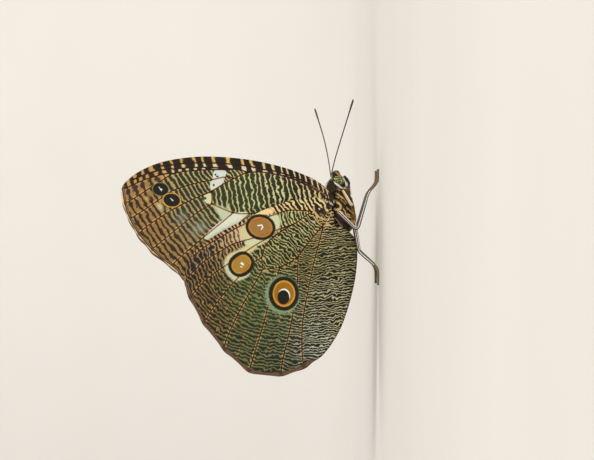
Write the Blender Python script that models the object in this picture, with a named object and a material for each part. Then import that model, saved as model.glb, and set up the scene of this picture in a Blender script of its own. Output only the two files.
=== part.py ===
"""A dasyophthalma butterfly at rest, life size, with its wings closed over its back.

The design frame is in millimetres: +X towards the head, -Y towards the animal's right
side, +Z up, with the feet on z = 0. At the end the whole animal is moved sideways so that
the origin is at the middle of its bounding box's bottom.
"""

import math

import bmesh
import bpy
import numpy as np
from mathutils import Vector
from mathutils.geometry import delaunay_2d_cdt

MM = 0.001
GAP = 0.3                    # left between nodes that touch
RIGHT, LEFT = -1, 1
SIDE_NAMES = {RIGHT: "right", LEFT: "left"}

# Wing membranes, in layers out from the middle plane
MEMBRANE = 0.5               # thickness
FOREWING_LEVEL = 0.18        # inner face of a forewing
HINDWING_LEVEL = 1.04        # inner face of a hindwing, which covers the forewing
VEIN_HEIGHT = 0.14
VEIN_HALF_WIDTH = 0.34
RIM_STEP, VEIN_STEP, NET_STEP = 1.7, 2.6, 3.1
LEFT_FOREWING_TURN = -1.1    # degrees that the far forewing lags behind the near one
LEFT_HINDWING_TURN = -0.4

# How far the wings stand off the middle plane over the body
WAIST_BULGE, THORAX_BULGE = 1.45, 1.6
THORAX_X, THORAX_REACH = -3.1, 3.6
BULGE_FOOT, BULGE_TOP = 8.0, 18.0
GUTTER_TURN_IN = 0.35
ABDOMEN_FADE_START, ABDOMEN_FADE_LENGTH = -20.0, 14.0
WING_LEAN, LEAN_START, LEAN_SPAN = 1.0, 18.0, 40.0
HINDWING_ROOT, HINDWING_ROOT_REACH = (-4.2, 9.7), 1.9

# Behind the forewing the hindwings close up, except over the abdomen
FOREWING_TAIL = ((-2.1, 10.5), (-17.8, 42.4))
CLOSE_START, CLOSE_LENGTH = 1.2, 11.0
ABDOMEN_LINE = ((-9.0, 8.4), (-23.0, 8.6))
ABDOMEN_CLEAR, ABDOMEN_EASE = 4.5, 8.0

# Outlines, as (x, z): costa, outer margin, inner margin, root
FOREWING_OUTLINE = (
    (1.7, 10.6), (4.0, 13.1), (6.6, 19.0), (8.5, 26.3), (9.45, 33.6), (9.5, 40.9),
    (8.1, 48.7), (5.3, 54.3), (2.2, 56.9), (-2.4, 56.0), (-6.9, 53.8), (-11.7, 49.8),
    (-15.2, 45.4), (-17.8, 42.4), (-17.0, 38.6), (-9.5, 25.0), (-4.0, 14.0),
    (-2.1, 10.5), (-1.5, 9.7), (0.8, 9.8),
)
HINDWING_OUTLINE = (
    (-2.7, 9.6), (-1.3, 10.9), (0.1, 12.7), (0.4, 15.0), (-0.1, 19.0), (-1.8, 24.2),
    (-4.6, 30.0), (-7.8, 35.9), (-11.2, 40.4), (-15.0, 42.3), (-18.7, 42.8),
    (-23.4, 41.0), (-27.4, 38.8), (-31.4, 35.9), (-35.3, 32.2), (-38.1, 28.7),
    (-39.0, 25.2), (-38.9, 21.0), (-37.5, 16.8), (-34.5, 12.6), (-30.5, 9.6),
    (-26.1, 7.5), (-21.0, 6.2), (-15.5, 5.4), (-10.4, 5.3), (-7.2, 6.2), (-5.6, 7.8),
    (-5.2, 9.3),
)

# Main veins, as (x, z) from root to margin
FOREWING_VEINS = {
    "subcosta": ((2.0, 11.6), (5.3, 17.3), (7.1, 25.0), (7.9, 32.0), (8.3, 37.0)),
    "radius": ((0.9, 11.0), (3.2, 15.6), (5.3, 21.0), (6.1, 28.3), (3.9, 33.4), (2.0, 36.7)),
    "cell_end": ((2.0, 36.7), (-0.9, 36.7)),
    "cubitus": ((0.2, 11.0), (-1.7, 20.0), (-3.0, 28.3), (-2.8, 31.9), (-0.9, 36.7)),
    "radial_3": ((4.6, 32.4), (5.6, 38.5), (6.1, 46.3), (4.3, 51.5), (2.8, 55.6)),
    "radial_4": ((5.6, 38.5), (5.2, 42.5), (4.6, 46.2), (3.1, 49.8), (-0.7, 55.5)),
    "radial_5": ((4.0, 33.2), (4.0, 38.5), (2.9, 41.8), (1.3, 46.0), (-0.9, 49.5), (-3.8, 54.3)),
    "medial_1": ((2.0, 36.7), (-0.7, 42.7), (-2.8, 46.5), (-6.6, 52.0), (-7.9, 53.1)),
    "medial_2": ((-0.9, 36.7), (-2.7, 39.8), (-6.6, 44.7), (-10.2, 49.1), (-11.2, 50.2)),
    "medial_3": ((-2.8, 31.9), (-6.0, 35.8), (-8.8, 39.2), (-14.2, 45.3), (-15.1, 46.0)),
    "cubital_2": ((-3.0, 28.3), (-8.0, 34.0), (-13.5, 40.0), (-17.2, 43.2)),
    "anal": ((-0.4, 11.6), (-4.6, 18.6), (-10.5, 29.5), (-16.6, 40.3)),
}
HINDWING_VEINS = {
    "trunk": ((-2.9, 10.9), (-2.6, 13.2), (-3.2, 15.0)),
    "radial": ((-2.6, 13.2), (-2.3, 19.7), (-3.3, 23.0), (-5.3, 29.4), (-8.2, 34.7),
               (-10.4, 38.3), (-12.8, 41.2)),
    "cell_top": ((-3.2, 15.0), (-5.0, 18.0), (-7.2, 21.7), (-9.7, 24.6), (-12.8, 25.7)),
    "cell_end": ((-12.8, 25.7), (-15.3, 25.4)),
    "cell_bottom": ((-4.2, 10.8), (-9.3, 15.0), (-12.8, 18.1), (-14.8, 21.7), (-15.3, 25.4)),
    "medial_1": ((-5.0, 18.0), (-6.4, 21.7), (-8.2, 26.8), (-9.7, 31.9), (-11.3, 34.7),
                 (-13.5, 38.3), (-17.5, 42.4)),
    "medial_2": ((-7.2, 21.7), (-9.7, 26.6), (-13.7, 32.5), (-17.9, 38.3), (-21.6, 41.5)),
    "medial_3": ((-12.8, 25.7), (-13.9, 27.7), (-17.3, 31.0), (-20.4, 33.8), (-24.3, 36.7),
                 (-27.4, 38.6)),
    "cubital_1": ((-15.3, 25.4), (-18.8, 27.4), (-23.2, 29.9), (-31.2, 33.6), (-33.6, 34.1)),
    "cubital_2": ((-14.8, 21.7), (-16.4, 22.1), (-22.1, 23.9), (-27.0, 25.2), (-33.6, 27.2),
                  (-38.1, 28.6)),
    "anal_2": ((-9.3, 15.0), (-11.9, 17.3), (-19.2, 17.9), (-28.8, 19.5), (-35.2, 21.0),
               (-38.8, 21.6)),
    "anal_3": ((-5.2, 11.6), (-9.0, 12.6), (-14.0, 13.9), (-20.0, 15.2), (-27.0, 16.6),
               (-33.2, 16.8), (-37.2, 16.4)),
}

# Body sections, as (x, middle z, half width, half height)
HEAD = (
    (1.8, 8.4, 1.0, 1.05), (2.4, 8.5, 1.5, 1.42), (3.6, 8.6, 1.78, 1.6), (4.8, 8.6, 1.66, 1.5),
    (5.7, 8.5, 1.15, 1.15), (6.15, 8.45, 0.5, 0.55),
)
THORAX = (
    (1.5, 8.35, 1.05, 1.1), (1.0, 8.3, 1.55, 1.6), (0.2, 8.15, 2.15, 2.3),
    (-1.2, 8.05, 2.8, 2.95), (-3.1, 8.0, 3.1, 3.2), (-5.0, 8.05, 2.75, 3.0),
    (-6.6, 8.25, 2.1, 2.45), (-7.6, 8.4, 1.4, 1.7),
)
ABDOMEN = (
    (-7.9, 8.4, 1.3, 1.5), (-9.0, 8.35, 1.75, 1.85), (-12.0, 8.3, 2.05, 2.1),
    (-17.0, 8.35, 1.95, 2.0), (-21.0, 8.5, 1.55, 1.6), (-23.6, 8.7, 1.0, 1.05),
    (-24.8, 8.8, 0.45, 0.5),
)
BODY_STEP, BODY_SIDES = 0.62, 20
ABDOMEN_SEGMENTS, SEGMENT_PINCH = 8, 0.06
EYE_CENTRE, EYE_RADII = (4.2, 1.6, 8.72), (1.2, 0.98, 1.15)

# Limbs: shaft radii, and the joints' places as (x, distance from the middle, z)
PALP_RADIUS = 0.42
PROBOSCIS_RADIUS, COIL_RADIUS, COIL_CENTRE = 0.19, 0.5, (3.7, 6.15)
ANTENNA_RADIUS, CLUB_RADIUS = 0.26, 0.42
ANTENNA_PATH = {
    RIGHT: ((8.6, 2.3, 10.95), (13.0, 5.2, 11.9), (19.8, 10.8, 14.05)),
    LEFT: ((8.4, 1.4, 9.65), (13.0, 3.0, 8.3), (22.6, 6.0, 5.3)),
}
FEMUR_RADIUS, TIBIA_RADIUS, TARSUS_RADIUS = 0.48, 0.38, 0.3
TARSUS_HEIGHT = 0.23
FORELEG_RADIUS = 0.34
MIDLEG_JOINTS = ((-6.7, 6.3, 4.7), (1.6, 7.9, 2.3), (3.9, 8.4, TARSUS_HEIGHT), (6.6, 8.9, TARSUS_HEIGHT))
HINDLEG_JOINTS = (
    (-11.2, 6.3, 4.3), (-14.2, 8.9, 0.95), (-15.5, 9.4, TARSUS_HEIGHT), (-18.6, 10.1, TARSUS_HEIGHT),
)
CORNER_CUT = 0.9             # how far before a joint a leg starts to bend

COLOURS = {                  # colour, roughness
    "wing": ((0.20, 0.17, 0.08), 0.75),
    "body": ((0.09, 0.065, 0.04), 0.85),
    "eye": ((0.10, 0.16, 0.05), 0.3),
    "leg": ((0.16, 0.13, 0.09), 0.6),
    "antenna": ((0.07, 0.045, 0.03), 0.55),
}


def clear_scene():
    for item in list(bpy.data.objects):
        bpy.data.objects.remove(item, do_unlink=True)


def new_collection(name):
    collection = bpy.data.collections.new(name)
    bpy.context.scene.collection.children.link(collection)
    return collection


def make_material(name, kind):
    colour, roughness = COLOURS[kind]
    material = bpy.data.materials.new(name)
    material.use_nodes = True
    shader = material.node_tree.nodes["Principled BSDF"]
    shader.inputs["Base Color"].default_value = (*colour, 1.0)
    shader.inputs["Roughness"].default_value = roughness
    shader.inputs["Metallic"].default_value = 0.0
    material.diffuse_color = (*colour, 1.0)
    return material


def add_object(name, mesh, kind, collection):
    mesh.materials.clear()
    mesh.materials.append(make_material(name, kind))
    obj = bpy.data.objects.new(name, mesh)
    collection.objects.link(obj)
    return obj


def finish_mesh(name, bm, kind, collection, smooth=True):
    bmesh.ops.triangulate(bm, faces=bm.faces)
    bmesh.ops.recalc_face_normals(bm, faces=bm.faces)
    mesh = bpy.data.meshes.new(name)
    bm.to_mesh(mesh)
    bm.free()
    if smooth:
        mesh.shade_smooth()
        mesh.set_sharp_from_angle(angle=math.radians(40))
    return add_object(name, mesh, kind, collection)


def catmull(a, b, c, d, steps):
    """Points from b up to c on a centripetal Catmull-Rom curve."""
    knots = [0.0]
    for p, q in ((a, b), (b, c), (c, d)):
        knots.append(knots[-1] + max(np.linalg.norm(q - p), 1e-6) ** 0.5)
    t0, t1, t2, t3 = knots
    points = []
    for t in np.linspace(t1, t2, steps, endpoint=False):
        ab = (t1 - t) / (t1 - t0) * a + (t - t0) / (t1 - t0) * b
        bc = (t2 - t) / (t2 - t1) * b + (t - t1) / (t2 - t1) * c
        cd = (t3 - t) / (t3 - t2) * c + (t - t2) / (t3 - t2) * d
        abc = (t2 - t) / (t2 - t0) * ab + (t - t0) / (t2 - t0) * bc
        bcd = (t3 - t) / (t3 - t1) * bc + (t - t1) / (t3 - t1) * cd
        points.append((t2 - t) / (t2 - t1) * abc + (t - t1) / (t2 - t1) * bcd)
    return points


def smooth_curve(points, spacing, closed=False):
    """Points about `spacing` apart on a smooth curve through `points`."""
    knots = [np.array(p, float) for p in points]
    if closed:
        knots = [knots[-1], *knots, knots[0], knots[1]]
    else:
        knots = [2 * knots[0] - knots[1], *knots, 2 * knots[-1] - knots[-2]]
    dense = []
    for quad in zip(knots, knots[1:], knots[2:], knots[3:]):
        dense += catmull(*quad, 16)
    dense.append(knots[-2])
    dense = np.array(dense)
    run = np.concatenate([[0], np.cumsum(np.linalg.norm(np.diff(dense, axis=0), axis=1))])
    count = max(2, round(run[-1] / spacing) + 1)
    marks = np.linspace(0, run[-1], count)
    curve = np.column_stack([np.interp(marks, run, dense[:, k]) for k in range(dense.shape[1])])
    return curve[:-1] if closed else curve


def distance_to_lines(points, lines):
    """Each point's distance to the nearest of some polylines."""
    best = np.full(len(points), np.inf)
    for line in lines:
        for a, b in zip(line, line[1:]):
            along = b - a
            t = np.clip((points - a) @ along / (along @ along), 0, 1)
            best = np.minimum(best, np.linalg.norm(points - a - t[:, None] * along, axis=1))
    return best


def inside(points, outline):
    """Which points lie inside a closed outline, by the even-odd rule."""
    x, z = points[:, 0], points[:, 1]
    odd = np.zeros(len(points), bool)
    for a, b in zip(outline, np.roll(outline, -1, axis=0)):
        crosses = (a[1] > z) != (b[1] > z)
        rise = b[1] - a[1] if abs(b[1] - a[1]) > 1e-12 else 1e-12
        odd ^= crosses & (x < (b[0] - a[0]) * (z - a[1]) / rise + a[0])
    return odd


def smoothstep(t):
    t = np.clip(t, 0, 1)
    return t * t * (3 - 2 * t)


def wing_offset(x, z):
    """How far a wing's inner side stands off the middle plane at (x, z)."""
    across_thorax = THORAX_BULGE * np.exp(-(((x - THORAX_X) / THORAX_REACH) ** 2))
    fade = 1 - smoothstep((ABDOMEN_FADE_START - x) / ABDOMEN_FADE_LENGTH)
    rise = np.clip((z - BULGE_FOOT) / (BULGE_TOP - BULGE_FOOT), 0, 1)
    profile = 0.5 * (1 + np.cos(math.pi * rise))
    below = np.clip(BULGE_FOOT - 1 - z, 0, 2) / 2
    return (WAIST_BULGE * fade + across_thorax) * (profile - GUTTER_TURN_IN * below ** 2)


def wing_middle(x, z, side):
    """The y of a side's wings before their layers are set out."""
    lean = WING_LEAN * (np.clip(z - LEAN_START, 0, None) / LEAN_SPAN) ** 2
    return side * wing_offset(x, z) + lean


def wing_surface(flat, height, side):
    """Points `height` out from a side's wing surface, over the flat places (x, z)."""
    x, z = flat[:, 0], flat[:, 1]
    step = 0.01
    slope_x = (wing_middle(x + step, z, side) - wing_middle(x - step, z, side)) / (2 * step)
    slope_z = (wing_middle(x, z + step, side) - wing_middle(x, z - step, side)) / (2 * step)
    normal = np.column_stack([-slope_x, np.ones(len(x)), -slope_z]) * side
    normal /= np.linalg.norm(normal, axis=1)[:, None]
    return np.column_stack([x, wing_middle(x, z, side), z]) + normal * height[:, None]


def turned(points, degrees):
    """Flat points turned about the wing roots."""
    pivot = np.array([0.0, 10.0])
    angle = math.radians(degrees)
    turn = np.array([[math.cos(angle), -math.sin(angle)], [math.sin(angle), math.cos(angle)]])
    return pivot + (np.array(points, float) - pivot) @ turn


class FlatNet:
    """Flat points and the edges that a triangulation has to keep."""

    def __init__(self, outline):
        self.points = [np.array(p) for p in outline]
        count = len(self.points)
        self.edges = [(i, (i + 1) % count) for i in range(count)]

    def add(self, point, merge):
        """The index of a point, which is an old one if that is within `merge`."""
        known = np.linalg.norm(np.array(self.points) - point, axis=1)
        nearest = int(np.argmin(known))
        if known[nearest] < merge:
            return nearest
        self.points.append(np.array(point))
        return len(self.points) - 1

    def add_line(self, line, merge):
        indices = [self.add(p, merge) for p in line]
        self.edges += [(i, j) for i, j in zip(indices, indices[1:]) if i != j]

    def triangles(self):
        flat = [Vector(p) for p in self.points]
        result = delaunay_2d_cdt(flat, self.edges, [], 1, 1e-4)
        return np.array([list(v) for v in result[0]]), [tuple(f) for f in result[2]]


def triangulate_wing(outline, veins):
    """Flat points, triangles, and each point's height as part of a vein's ridge."""
    rim = smooth_curve(outline, RIM_STEP, closed=True)
    lines = []
    for vein in veins:
        line = smooth_curve(vein, VEIN_STEP)
        kept = inside(line, rim) & (distance_to_lines(line, [np.vstack([rim, rim[:1]])]) > 0.7)
        lines.append(line[kept])
    net = FlatNet(rim)
    for line in lines:
        net.add_line(line, merge=0.8)
    for line in lines:
        along = np.gradient(line, axis=0)
        across = np.column_stack([-along[:, 1], along[:, 0]])
        across *= VEIN_HALF_WIDTH / np.linalg.norm(across, axis=1)[:, None]
        for foot in (line + across, line - across):
            clear = distance_to_lines(foot, lines) > VEIN_HALF_WIDTH * 0.9
            ring = np.vstack([rim, rim[:1]])
            clear &= inside(foot, rim) & (distance_to_lines(foot, [ring]) > 0.4)
            run = []
            for point, keep in zip(foot, clear):
                if keep:
                    run.append(point)
                    continue
                if len(run) > 1:
                    net.add_line(run, merge=0.25)
                run = []
            if len(run) > 1:
                net.add_line(run, merge=0.25)
    low, high = rim.min(axis=0), rim.max(axis=0)
    rows = np.arange(low[1], high[1], NET_STEP * math.sqrt(0.75))
    grid = [
        (low[0] + (k + 0.5 * (j % 2)) * NET_STEP, z)
        for j, z in enumerate(rows)
        for k in range(int((high[0] - low[0]) / NET_STEP) + 1)
    ]
    grid = np.array(grid)
    ring = np.vstack([rim, rim[:1]])
    free = inside(grid, rim) & (distance_to_lines(grid, [ring]) > 1.1)
    free &= distance_to_lines(grid, lines) > 1.3
    for point in grid[free]:
        net.add(point, merge=0.5)
    flat, triangles = net.triangles()
    near = np.clip(1 - distance_to_lines(flat, lines) / VEIN_HALF_WIDTH, 0, 1)
    return flat, triangles, VEIN_HEIGHT * near


def hindwing_level(flat):
    """The height of a hindwing's inner face: over the forewing, and closed up behind it."""
    start, end = np.array(FOREWING_TAIL)
    along = (end - start) / np.linalg.norm(end - start)
    behind = (flat - start) @ np.array([-along[1], along[0]])
    closed = smoothstep((behind - CLOSE_START) / CLOSE_LENGTH)
    body = distance_to_lines(flat, [np.array(ABDOMEN_LINE)])
    closed *= smoothstep((body - ABDOMEN_CLEAR) / ABDOMEN_EASE)
    return HINDWING_LEVEL - (HINDWING_LEVEL - FOREWING_LEVEL) * closed


def make_wing(name, outline, veins, side, turn, collection):
    """A membrane with its veins raised on the outer face, split alike on both faces."""
    flat, triangles, ridge = triangulate_wing(
        turned(outline, turn), [turned(line, turn) for line in veins.values()]
    )
    if outline is HINDWING_OUTLINE:
        level = hindwing_level(flat)
        root = np.linalg.norm(flat - np.array(HINDWING_ROOT), axis=1) / HINDWING_ROOT_REACH
        sunk = (HINDWING_LEVEL - FOREWING_LEVEL) * (1 - smoothstep(root))
    else:
        level = np.full(len(flat), FOREWING_LEVEL)
        sunk = 0.0
    outer = wing_surface(flat, level + MEMBRANE + ridge, side)
    inner = wing_surface(flat, level - sunk, side)
    bm = bmesh.new()
    outer_verts = [bm.verts.new(Vector(p) * MM) for p in outer]
    inner_verts = [bm.verts.new(Vector(p) * MM) for p in inner]
    sides_of = {}
    for a, b, c in triangles:
        bm.faces.new((outer_verts[a], outer_verts[b], outer_verts[c]))
        bm.faces.new((inner_verts[c], inner_verts[b], inner_verts[a]))
        for edge in ((a, b), (b, c), (c, a)):
            sides_of.setdefault(frozenset(edge), []).append(edge)
    for found in sides_of.values():
        if len(found) == 1:
            a, b = found[0]
            bm.faces.new((outer_verts[b], outer_verts[a], inner_verts[a]))
            bm.faces.new((outer_verts[b], inner_verts[a], inner_verts[b]))
    return finish_mesh(name, bm, "wing", collection)


def section(stations, x):
    """A body's middle height, half width and half height at x."""
    table = np.array(sorted(stations))
    curve = smooth_curve(table, 0.1)
    return [float(np.interp(x, curve[:, 0], curve[:, k])) for k in (1, 2, 3)]


def beside(stations, x, degrees, side, clearance):
    """A point off a body's surface, with its angle counted from straight below."""
    middle, width, height = section(stations, x)
    angle = math.radians(degrees)
    out = Vector((0, math.sin(angle) / width, -math.cos(angle) / height)).normalized()
    point = Vector((x, width * math.sin(angle), middle - height * math.cos(angle)))
    point += out * clearance
    return (point.x, side * point.y, point.z)


def make_body(name, stations, collection, pinch=0.0, segments=1):
    """A closed body of elliptical sections along x, with an optional pinch between segments."""
    first, last = stations[0][0], stations[-1][0]
    count = round(abs(last - first) / BODY_STEP) + 1
    bm = bmesh.new()
    rings = []
    for k in range(count):
        t = k / (count - 1)
        x = first + (last - first) * t
        middle, width, height = section(stations, x)
        scale = 1 - pinch * (0.5 + 0.5 * math.cos(2 * math.pi * segments * t)) ** 3
        ring = []
        for j in range(BODY_SIDES):
            angle = 2 * math.pi * (j + 0.5) / BODY_SIDES
            y, z = scale * width * math.sin(angle), middle + scale * height * math.cos(angle)
            ring.append(bm.verts.new(Vector((x, y, z)) * MM))
        rings.append(ring)
    for one, two in zip(rings, rings[1:]):
        for j in range(BODY_SIDES):
            k = (j + 1) % BODY_SIDES
            bm.faces.new((one[j], one[k], two[k], two[j]))
    bm.faces.new(rings[0][::-1])
    bm.faces.new(rings[-1])
    return finish_mesh(name, bm, "body", collection)


def make_eye(name, side, swell, collection):
    """An eye, or with `swell` the cutter of its socket."""
    bm = bmesh.new()
    bmesh.ops.create_uvsphere(bm, u_segments=16, v_segments=10, radius=1.0)
    x, y, z = EYE_CENTRE
    radii = [(r + swell) * MM for r in EYE_RADII]
    bmesh.ops.scale(bm, verts=bm.verts, vec=radii)
    bmesh.ops.translate(bm, verts=bm.verts, vec=Vector((x, side * y, z)) * MM)
    return finish_mesh(name, bm, "eye", collection)


def cut(target, cutter):
    modifier = target.modifiers.new("socket", "BOOLEAN")
    modifier.operation = "DIFFERENCE"
    modifier.solver = "EXACT"
    modifier.object = cutter
    cutter.hide_render = True
    cutter.display_type = "WIRE"


def bent(points, radii):
    """A path with its corners rounded, and the radius at each of its points."""
    points = [Vector(p) for p in points]
    path = [points[0]]
    sizes = [radii[0]]
    for k in range(1, len(points) - 1):
        before, here, after = points[k - 1: k + 2]
        cut_in = min(CORNER_CUT, 0.4 * (here - before).length, 0.4 * (after - here).length)
        start = here + (before - here).normalized() * cut_in
        end = here + (after - here).normalized() * cut_in
        path.append((path[-1] + start) / 2)
        sizes.append((sizes[-1] + radii[k]) / 2 * 1.06)
        for t in (0.0, 0.5, 1.0):
            path.append(start * (1 - t) ** 2 + here * 2 * t * (1 - t) + end * t ** 2)
            sizes.append(radii[k])
    path += [(path[-1] + points[-1]) / 2, points[-1]]
    sizes += [(sizes[-1] + radii[-1]) / 2, radii[-1]]
    return path, sizes


def make_tube(name, path, radii, kind, collection):
    """A closed tube of changing radius, whose underside is cut flat on the floor."""
    curve = bpy.data.curves.new(name, "CURVE")
    curve.dimensions = "3D"
    curve.bevel_depth = MM
    curve.bevel_resolution = 2
    curve.use_fill_caps = True
    spline = curve.splines.new("POLY")
    spline.points.add(len(path) - 1)
    for point, place, radius in zip(spline.points, path, radii):
        point.co = (*(Vector(place) * MM), 1.0)
        point.radius = radius
    obj = bpy.data.objects.new(name, curve)
    collection.objects.link(obj)
    evaluated = obj.evaluated_get(bpy.context.evaluated_depsgraph_get())
    mesh = bpy.data.meshes.new_from_object(evaluated)
    bpy.data.objects.remove(obj, do_unlink=True)
    bm = bmesh.new()
    bm.from_mesh(mesh)
    bpy.data.meshes.remove(mesh)
    bmesh.ops.remove_doubles(bm, verts=bm.verts, dist=1e-6)
    if min(v.co.z for v in bm.verts) < 0:
        geometry = [*bm.verts, *bm.edges, *bm.faces]
        bmesh.ops.bisect_plane(
            bm, geom=geometry, dist=1e-7, plane_co=(0, 0, 0), plane_no=(0, 0, 1), clear_inner=True
        )
        open_edges = [e for e in bm.edges if e.is_boundary]
        bmesh.ops.holes_fill(bm, edges=open_edges)
    return finish_mesh(name, bm, kind, collection)


def make_palp(side, collection):
    """A palp, which rises from below the head in front of the face."""
    base = beside(HEAD, 2.7, 30, side, GAP + PALP_RADIUS)
    points = [base, (4.2, side * 1.0, 6.3), (5.6, side * 0.85, 6.75), (6.8, side * 0.62, 7.6)]
    path = smooth_curve(points, 0.55)
    t = np.linspace(0, 1, len(path))
    radii = PALP_RADIUS * (0.8 + 0.3 * np.sin(math.pi * t) - 0.35 * t ** 2)
    make_tube("palp_" + SIDE_NAMES[side], path, radii, "body", collection)


def make_proboscis(collection):
    """The tongue, coiled between the palps."""
    root = beside(HEAD, 3.1, 0, LEFT, GAP)
    centre_x, centre_z = COIL_CENTRE
    turns = 1.25
    points = [root]
    for t in np.linspace(0, 1, 16):
        angle = math.pi - 2 * math.pi * turns * t
        radius = COIL_RADIUS * (1 - 0.72 * t)
        points.append((centre_x + radius * math.cos(angle), 0, centre_z - radius * math.sin(angle)))
    radii = np.linspace(PROBOSCIS_RADIUS, PROBOSCIS_RADIUS * 0.55, len(points))
    make_tube("proboscis", points, radii, "antenna", collection)


def make_antenna(side, collection):
    """A slender antenna that thickens into a club."""
    base = beside(HEAD, 5.1, 158, side, GAP + ANTENNA_RADIUS)
    points = [base] + [(x, side * y, z) for x, y, z in ANTENNA_PATH[side]]
    path = smooth_curve(points, 1.1)
    t = np.linspace(0, 1, len(path))
    club = np.exp(-(((t - 0.93) / 0.09) ** 2))
    radii = ANTENNA_RADIUS + (CLUB_RADIUS - ANTENNA_RADIUS) * club
    radii[-1] *= 0.5
    make_tube("antenna_" + SIDE_NAMES[side], path, radii, "antenna", collection)


def make_foreleg(side, collection):
    """A reduced foreleg, folded against the breast."""
    points = [
        beside(THORAX, 1.0, 74, side, GAP + FORELEG_RADIUS),
        beside(THORAX, -1.7, 50, side, GAP + FORELEG_RADIUS + 0.15),
        beside(THORAX, 0.5, 24, side, GAP + FORELEG_RADIUS + 0.2),
    ]
    path, radii = bent(points, [FORELEG_RADIUS * 0.9, FORELEG_RADIUS, FORELEG_RADIUS * 0.7])
    make_tube("foreleg_" + SIDE_NAMES[side], path, radii, "leg", collection)


def make_walking_leg(name, hip, joints, side, collection):
    """Femur, tibia and tarsus, with the tarsus flat on the floor."""
    points = [hip] + [(x, side * y, z) for x, y, z in joints]
    radii = [FEMUR_RADIUS, TIBIA_RADIUS, TARSUS_RADIUS, TARSUS_RADIUS, TARSUS_RADIUS * 0.9]
    path, sizes = bent(points, radii)
    make_tube(name + "_" + SIDE_NAMES[side], path, sizes, "leg", collection)


def centre_on_origin(collection):
    """Move every mesh so that the origin is at the bounding box's bottom centre."""
    corners = np.array([v.co for obj in collection.objects for v in obj.data.vertices])
    low, high = corners.min(axis=0), corners.max(axis=0)
    shift = Vector((-(low[0] + high[0]) / 2, -(low[1] + high[1]) / 2, -low[2]))
    for obj in [*collection.objects, *bpy.data.collections["cutters"].objects]:
        for vertex in obj.data.vertices:
            vertex.co += shift


def build():
    clear_scene()
    parts = new_collection("butterfly")
    cutters = new_collection("cutters")
    make_body("thorax", THORAX, parts)
    make_body("abdomen", ABDOMEN, parts, pinch=SEGMENT_PINCH, segments=ABDOMEN_SEGMENTS)
    head = make_body("head", HEAD, parts)
    make_proboscis(parts)
    for side, word in SIDE_NAMES.items():
        make_eye("eye_" + word, side, 0.0, parts)
        cut(head, make_eye("socket_" + word, side, GAP, cutters))
        make_palp(side, parts)
        make_antenna(side, parts)
        make_foreleg(side, parts)
        mid_hip = beside(THORAX, -2.9, 98, side, GAP + FEMUR_RADIUS)
        hind_hip = beside(THORAX, -5.4, 38, side, GAP + FEMUR_RADIUS)
        make_walking_leg("midleg", mid_hip, MIDLEG_JOINTS, side, parts)
        make_walking_leg("hindleg", hind_hip, HINDLEG_JOINTS, side, parts)
        fore_turn = LEFT_FOREWING_TURN if side == LEFT else 0.0
        hind_turn = LEFT_HINDWING_TURN if side == LEFT else 0.0
        make_wing("forewing_" + word, FOREWING_OUTLINE, FOREWING_VEINS, side, fore_turn, parts)
        make_wing("hindwing_" + word, HINDWING_OUTLINE, HINDWING_VEINS, side, hind_turn, parts)
    centre_on_origin(parts)


build()
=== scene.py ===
"""The looks of a dasyophthalma butterfly at rest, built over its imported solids.

Shapes and markings are laid out in millimetres in the design frame: +X towards the head,
-Y towards the animal's right side, +Z up, feet on z = 0. `place` moves them to the part.
"""

import math

import bmesh
import bpy
import numpy as np
from mathutils import Matrix, Vector
from mathutils.geometry import delaunay_2d_cdt


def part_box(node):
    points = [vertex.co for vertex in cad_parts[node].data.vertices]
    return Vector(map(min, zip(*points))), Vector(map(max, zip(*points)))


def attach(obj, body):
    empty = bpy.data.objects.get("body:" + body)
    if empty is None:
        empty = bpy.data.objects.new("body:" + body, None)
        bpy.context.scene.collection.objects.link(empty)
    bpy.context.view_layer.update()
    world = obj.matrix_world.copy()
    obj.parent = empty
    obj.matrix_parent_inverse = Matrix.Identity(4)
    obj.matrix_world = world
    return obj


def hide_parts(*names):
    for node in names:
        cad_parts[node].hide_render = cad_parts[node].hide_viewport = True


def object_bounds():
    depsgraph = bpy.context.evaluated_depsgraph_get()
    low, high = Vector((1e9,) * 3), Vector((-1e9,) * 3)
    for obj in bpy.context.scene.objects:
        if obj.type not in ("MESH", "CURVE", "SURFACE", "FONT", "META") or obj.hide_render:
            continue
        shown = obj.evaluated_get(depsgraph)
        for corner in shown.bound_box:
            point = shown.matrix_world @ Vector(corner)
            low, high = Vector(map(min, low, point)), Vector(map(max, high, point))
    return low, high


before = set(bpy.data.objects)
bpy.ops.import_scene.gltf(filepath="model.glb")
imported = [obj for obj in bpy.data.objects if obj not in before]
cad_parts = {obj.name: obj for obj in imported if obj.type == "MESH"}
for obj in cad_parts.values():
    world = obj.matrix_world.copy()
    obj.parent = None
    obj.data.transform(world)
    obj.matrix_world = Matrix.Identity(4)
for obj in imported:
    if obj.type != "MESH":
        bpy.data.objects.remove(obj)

CAD_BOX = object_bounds()

MM = 0.001
RIGHT, LEFT = -1, 1
SIDE_NAMES = {RIGHT: "right", LEFT: "left"}

# Sizes of the solids
FOREWING_LEVEL, HINDWING_LEVEL = 0.18, 1.04
LEFT_FOREWING_TURN, LEFT_HINDWING_TURN = -1.1, -0.4
WAIST_BULGE, THORAX_BULGE = 1.45, 1.6
THORAX_X, THORAX_REACH = -3.1, 3.6
BULGE_FOOT, BULGE_TOP = 8.0, 18.0
GUTTER_TURN_IN = 0.35
ABDOMEN_FADE_START, ABDOMEN_FADE_LENGTH = -20.0, 14.0
WING_LEAN, LEAN_START, LEAN_SPAN = 1.0, 18.0, 40.0
HINDWING_ROOT, HINDWING_ROOT_REACH = (-4.2, 9.7), 1.9
FOREWING_TAIL = ((-2.1, 10.5), (-17.8, 42.4))
CLOSE_START, CLOSE_LENGTH = 1.2, 11.0
ABDOMEN_LINE = ((-9.0, 8.4), (-23.0, 8.6))
ABDOMEN_CLEAR, ABDOMEN_EASE = 4.5, 8.0
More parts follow.
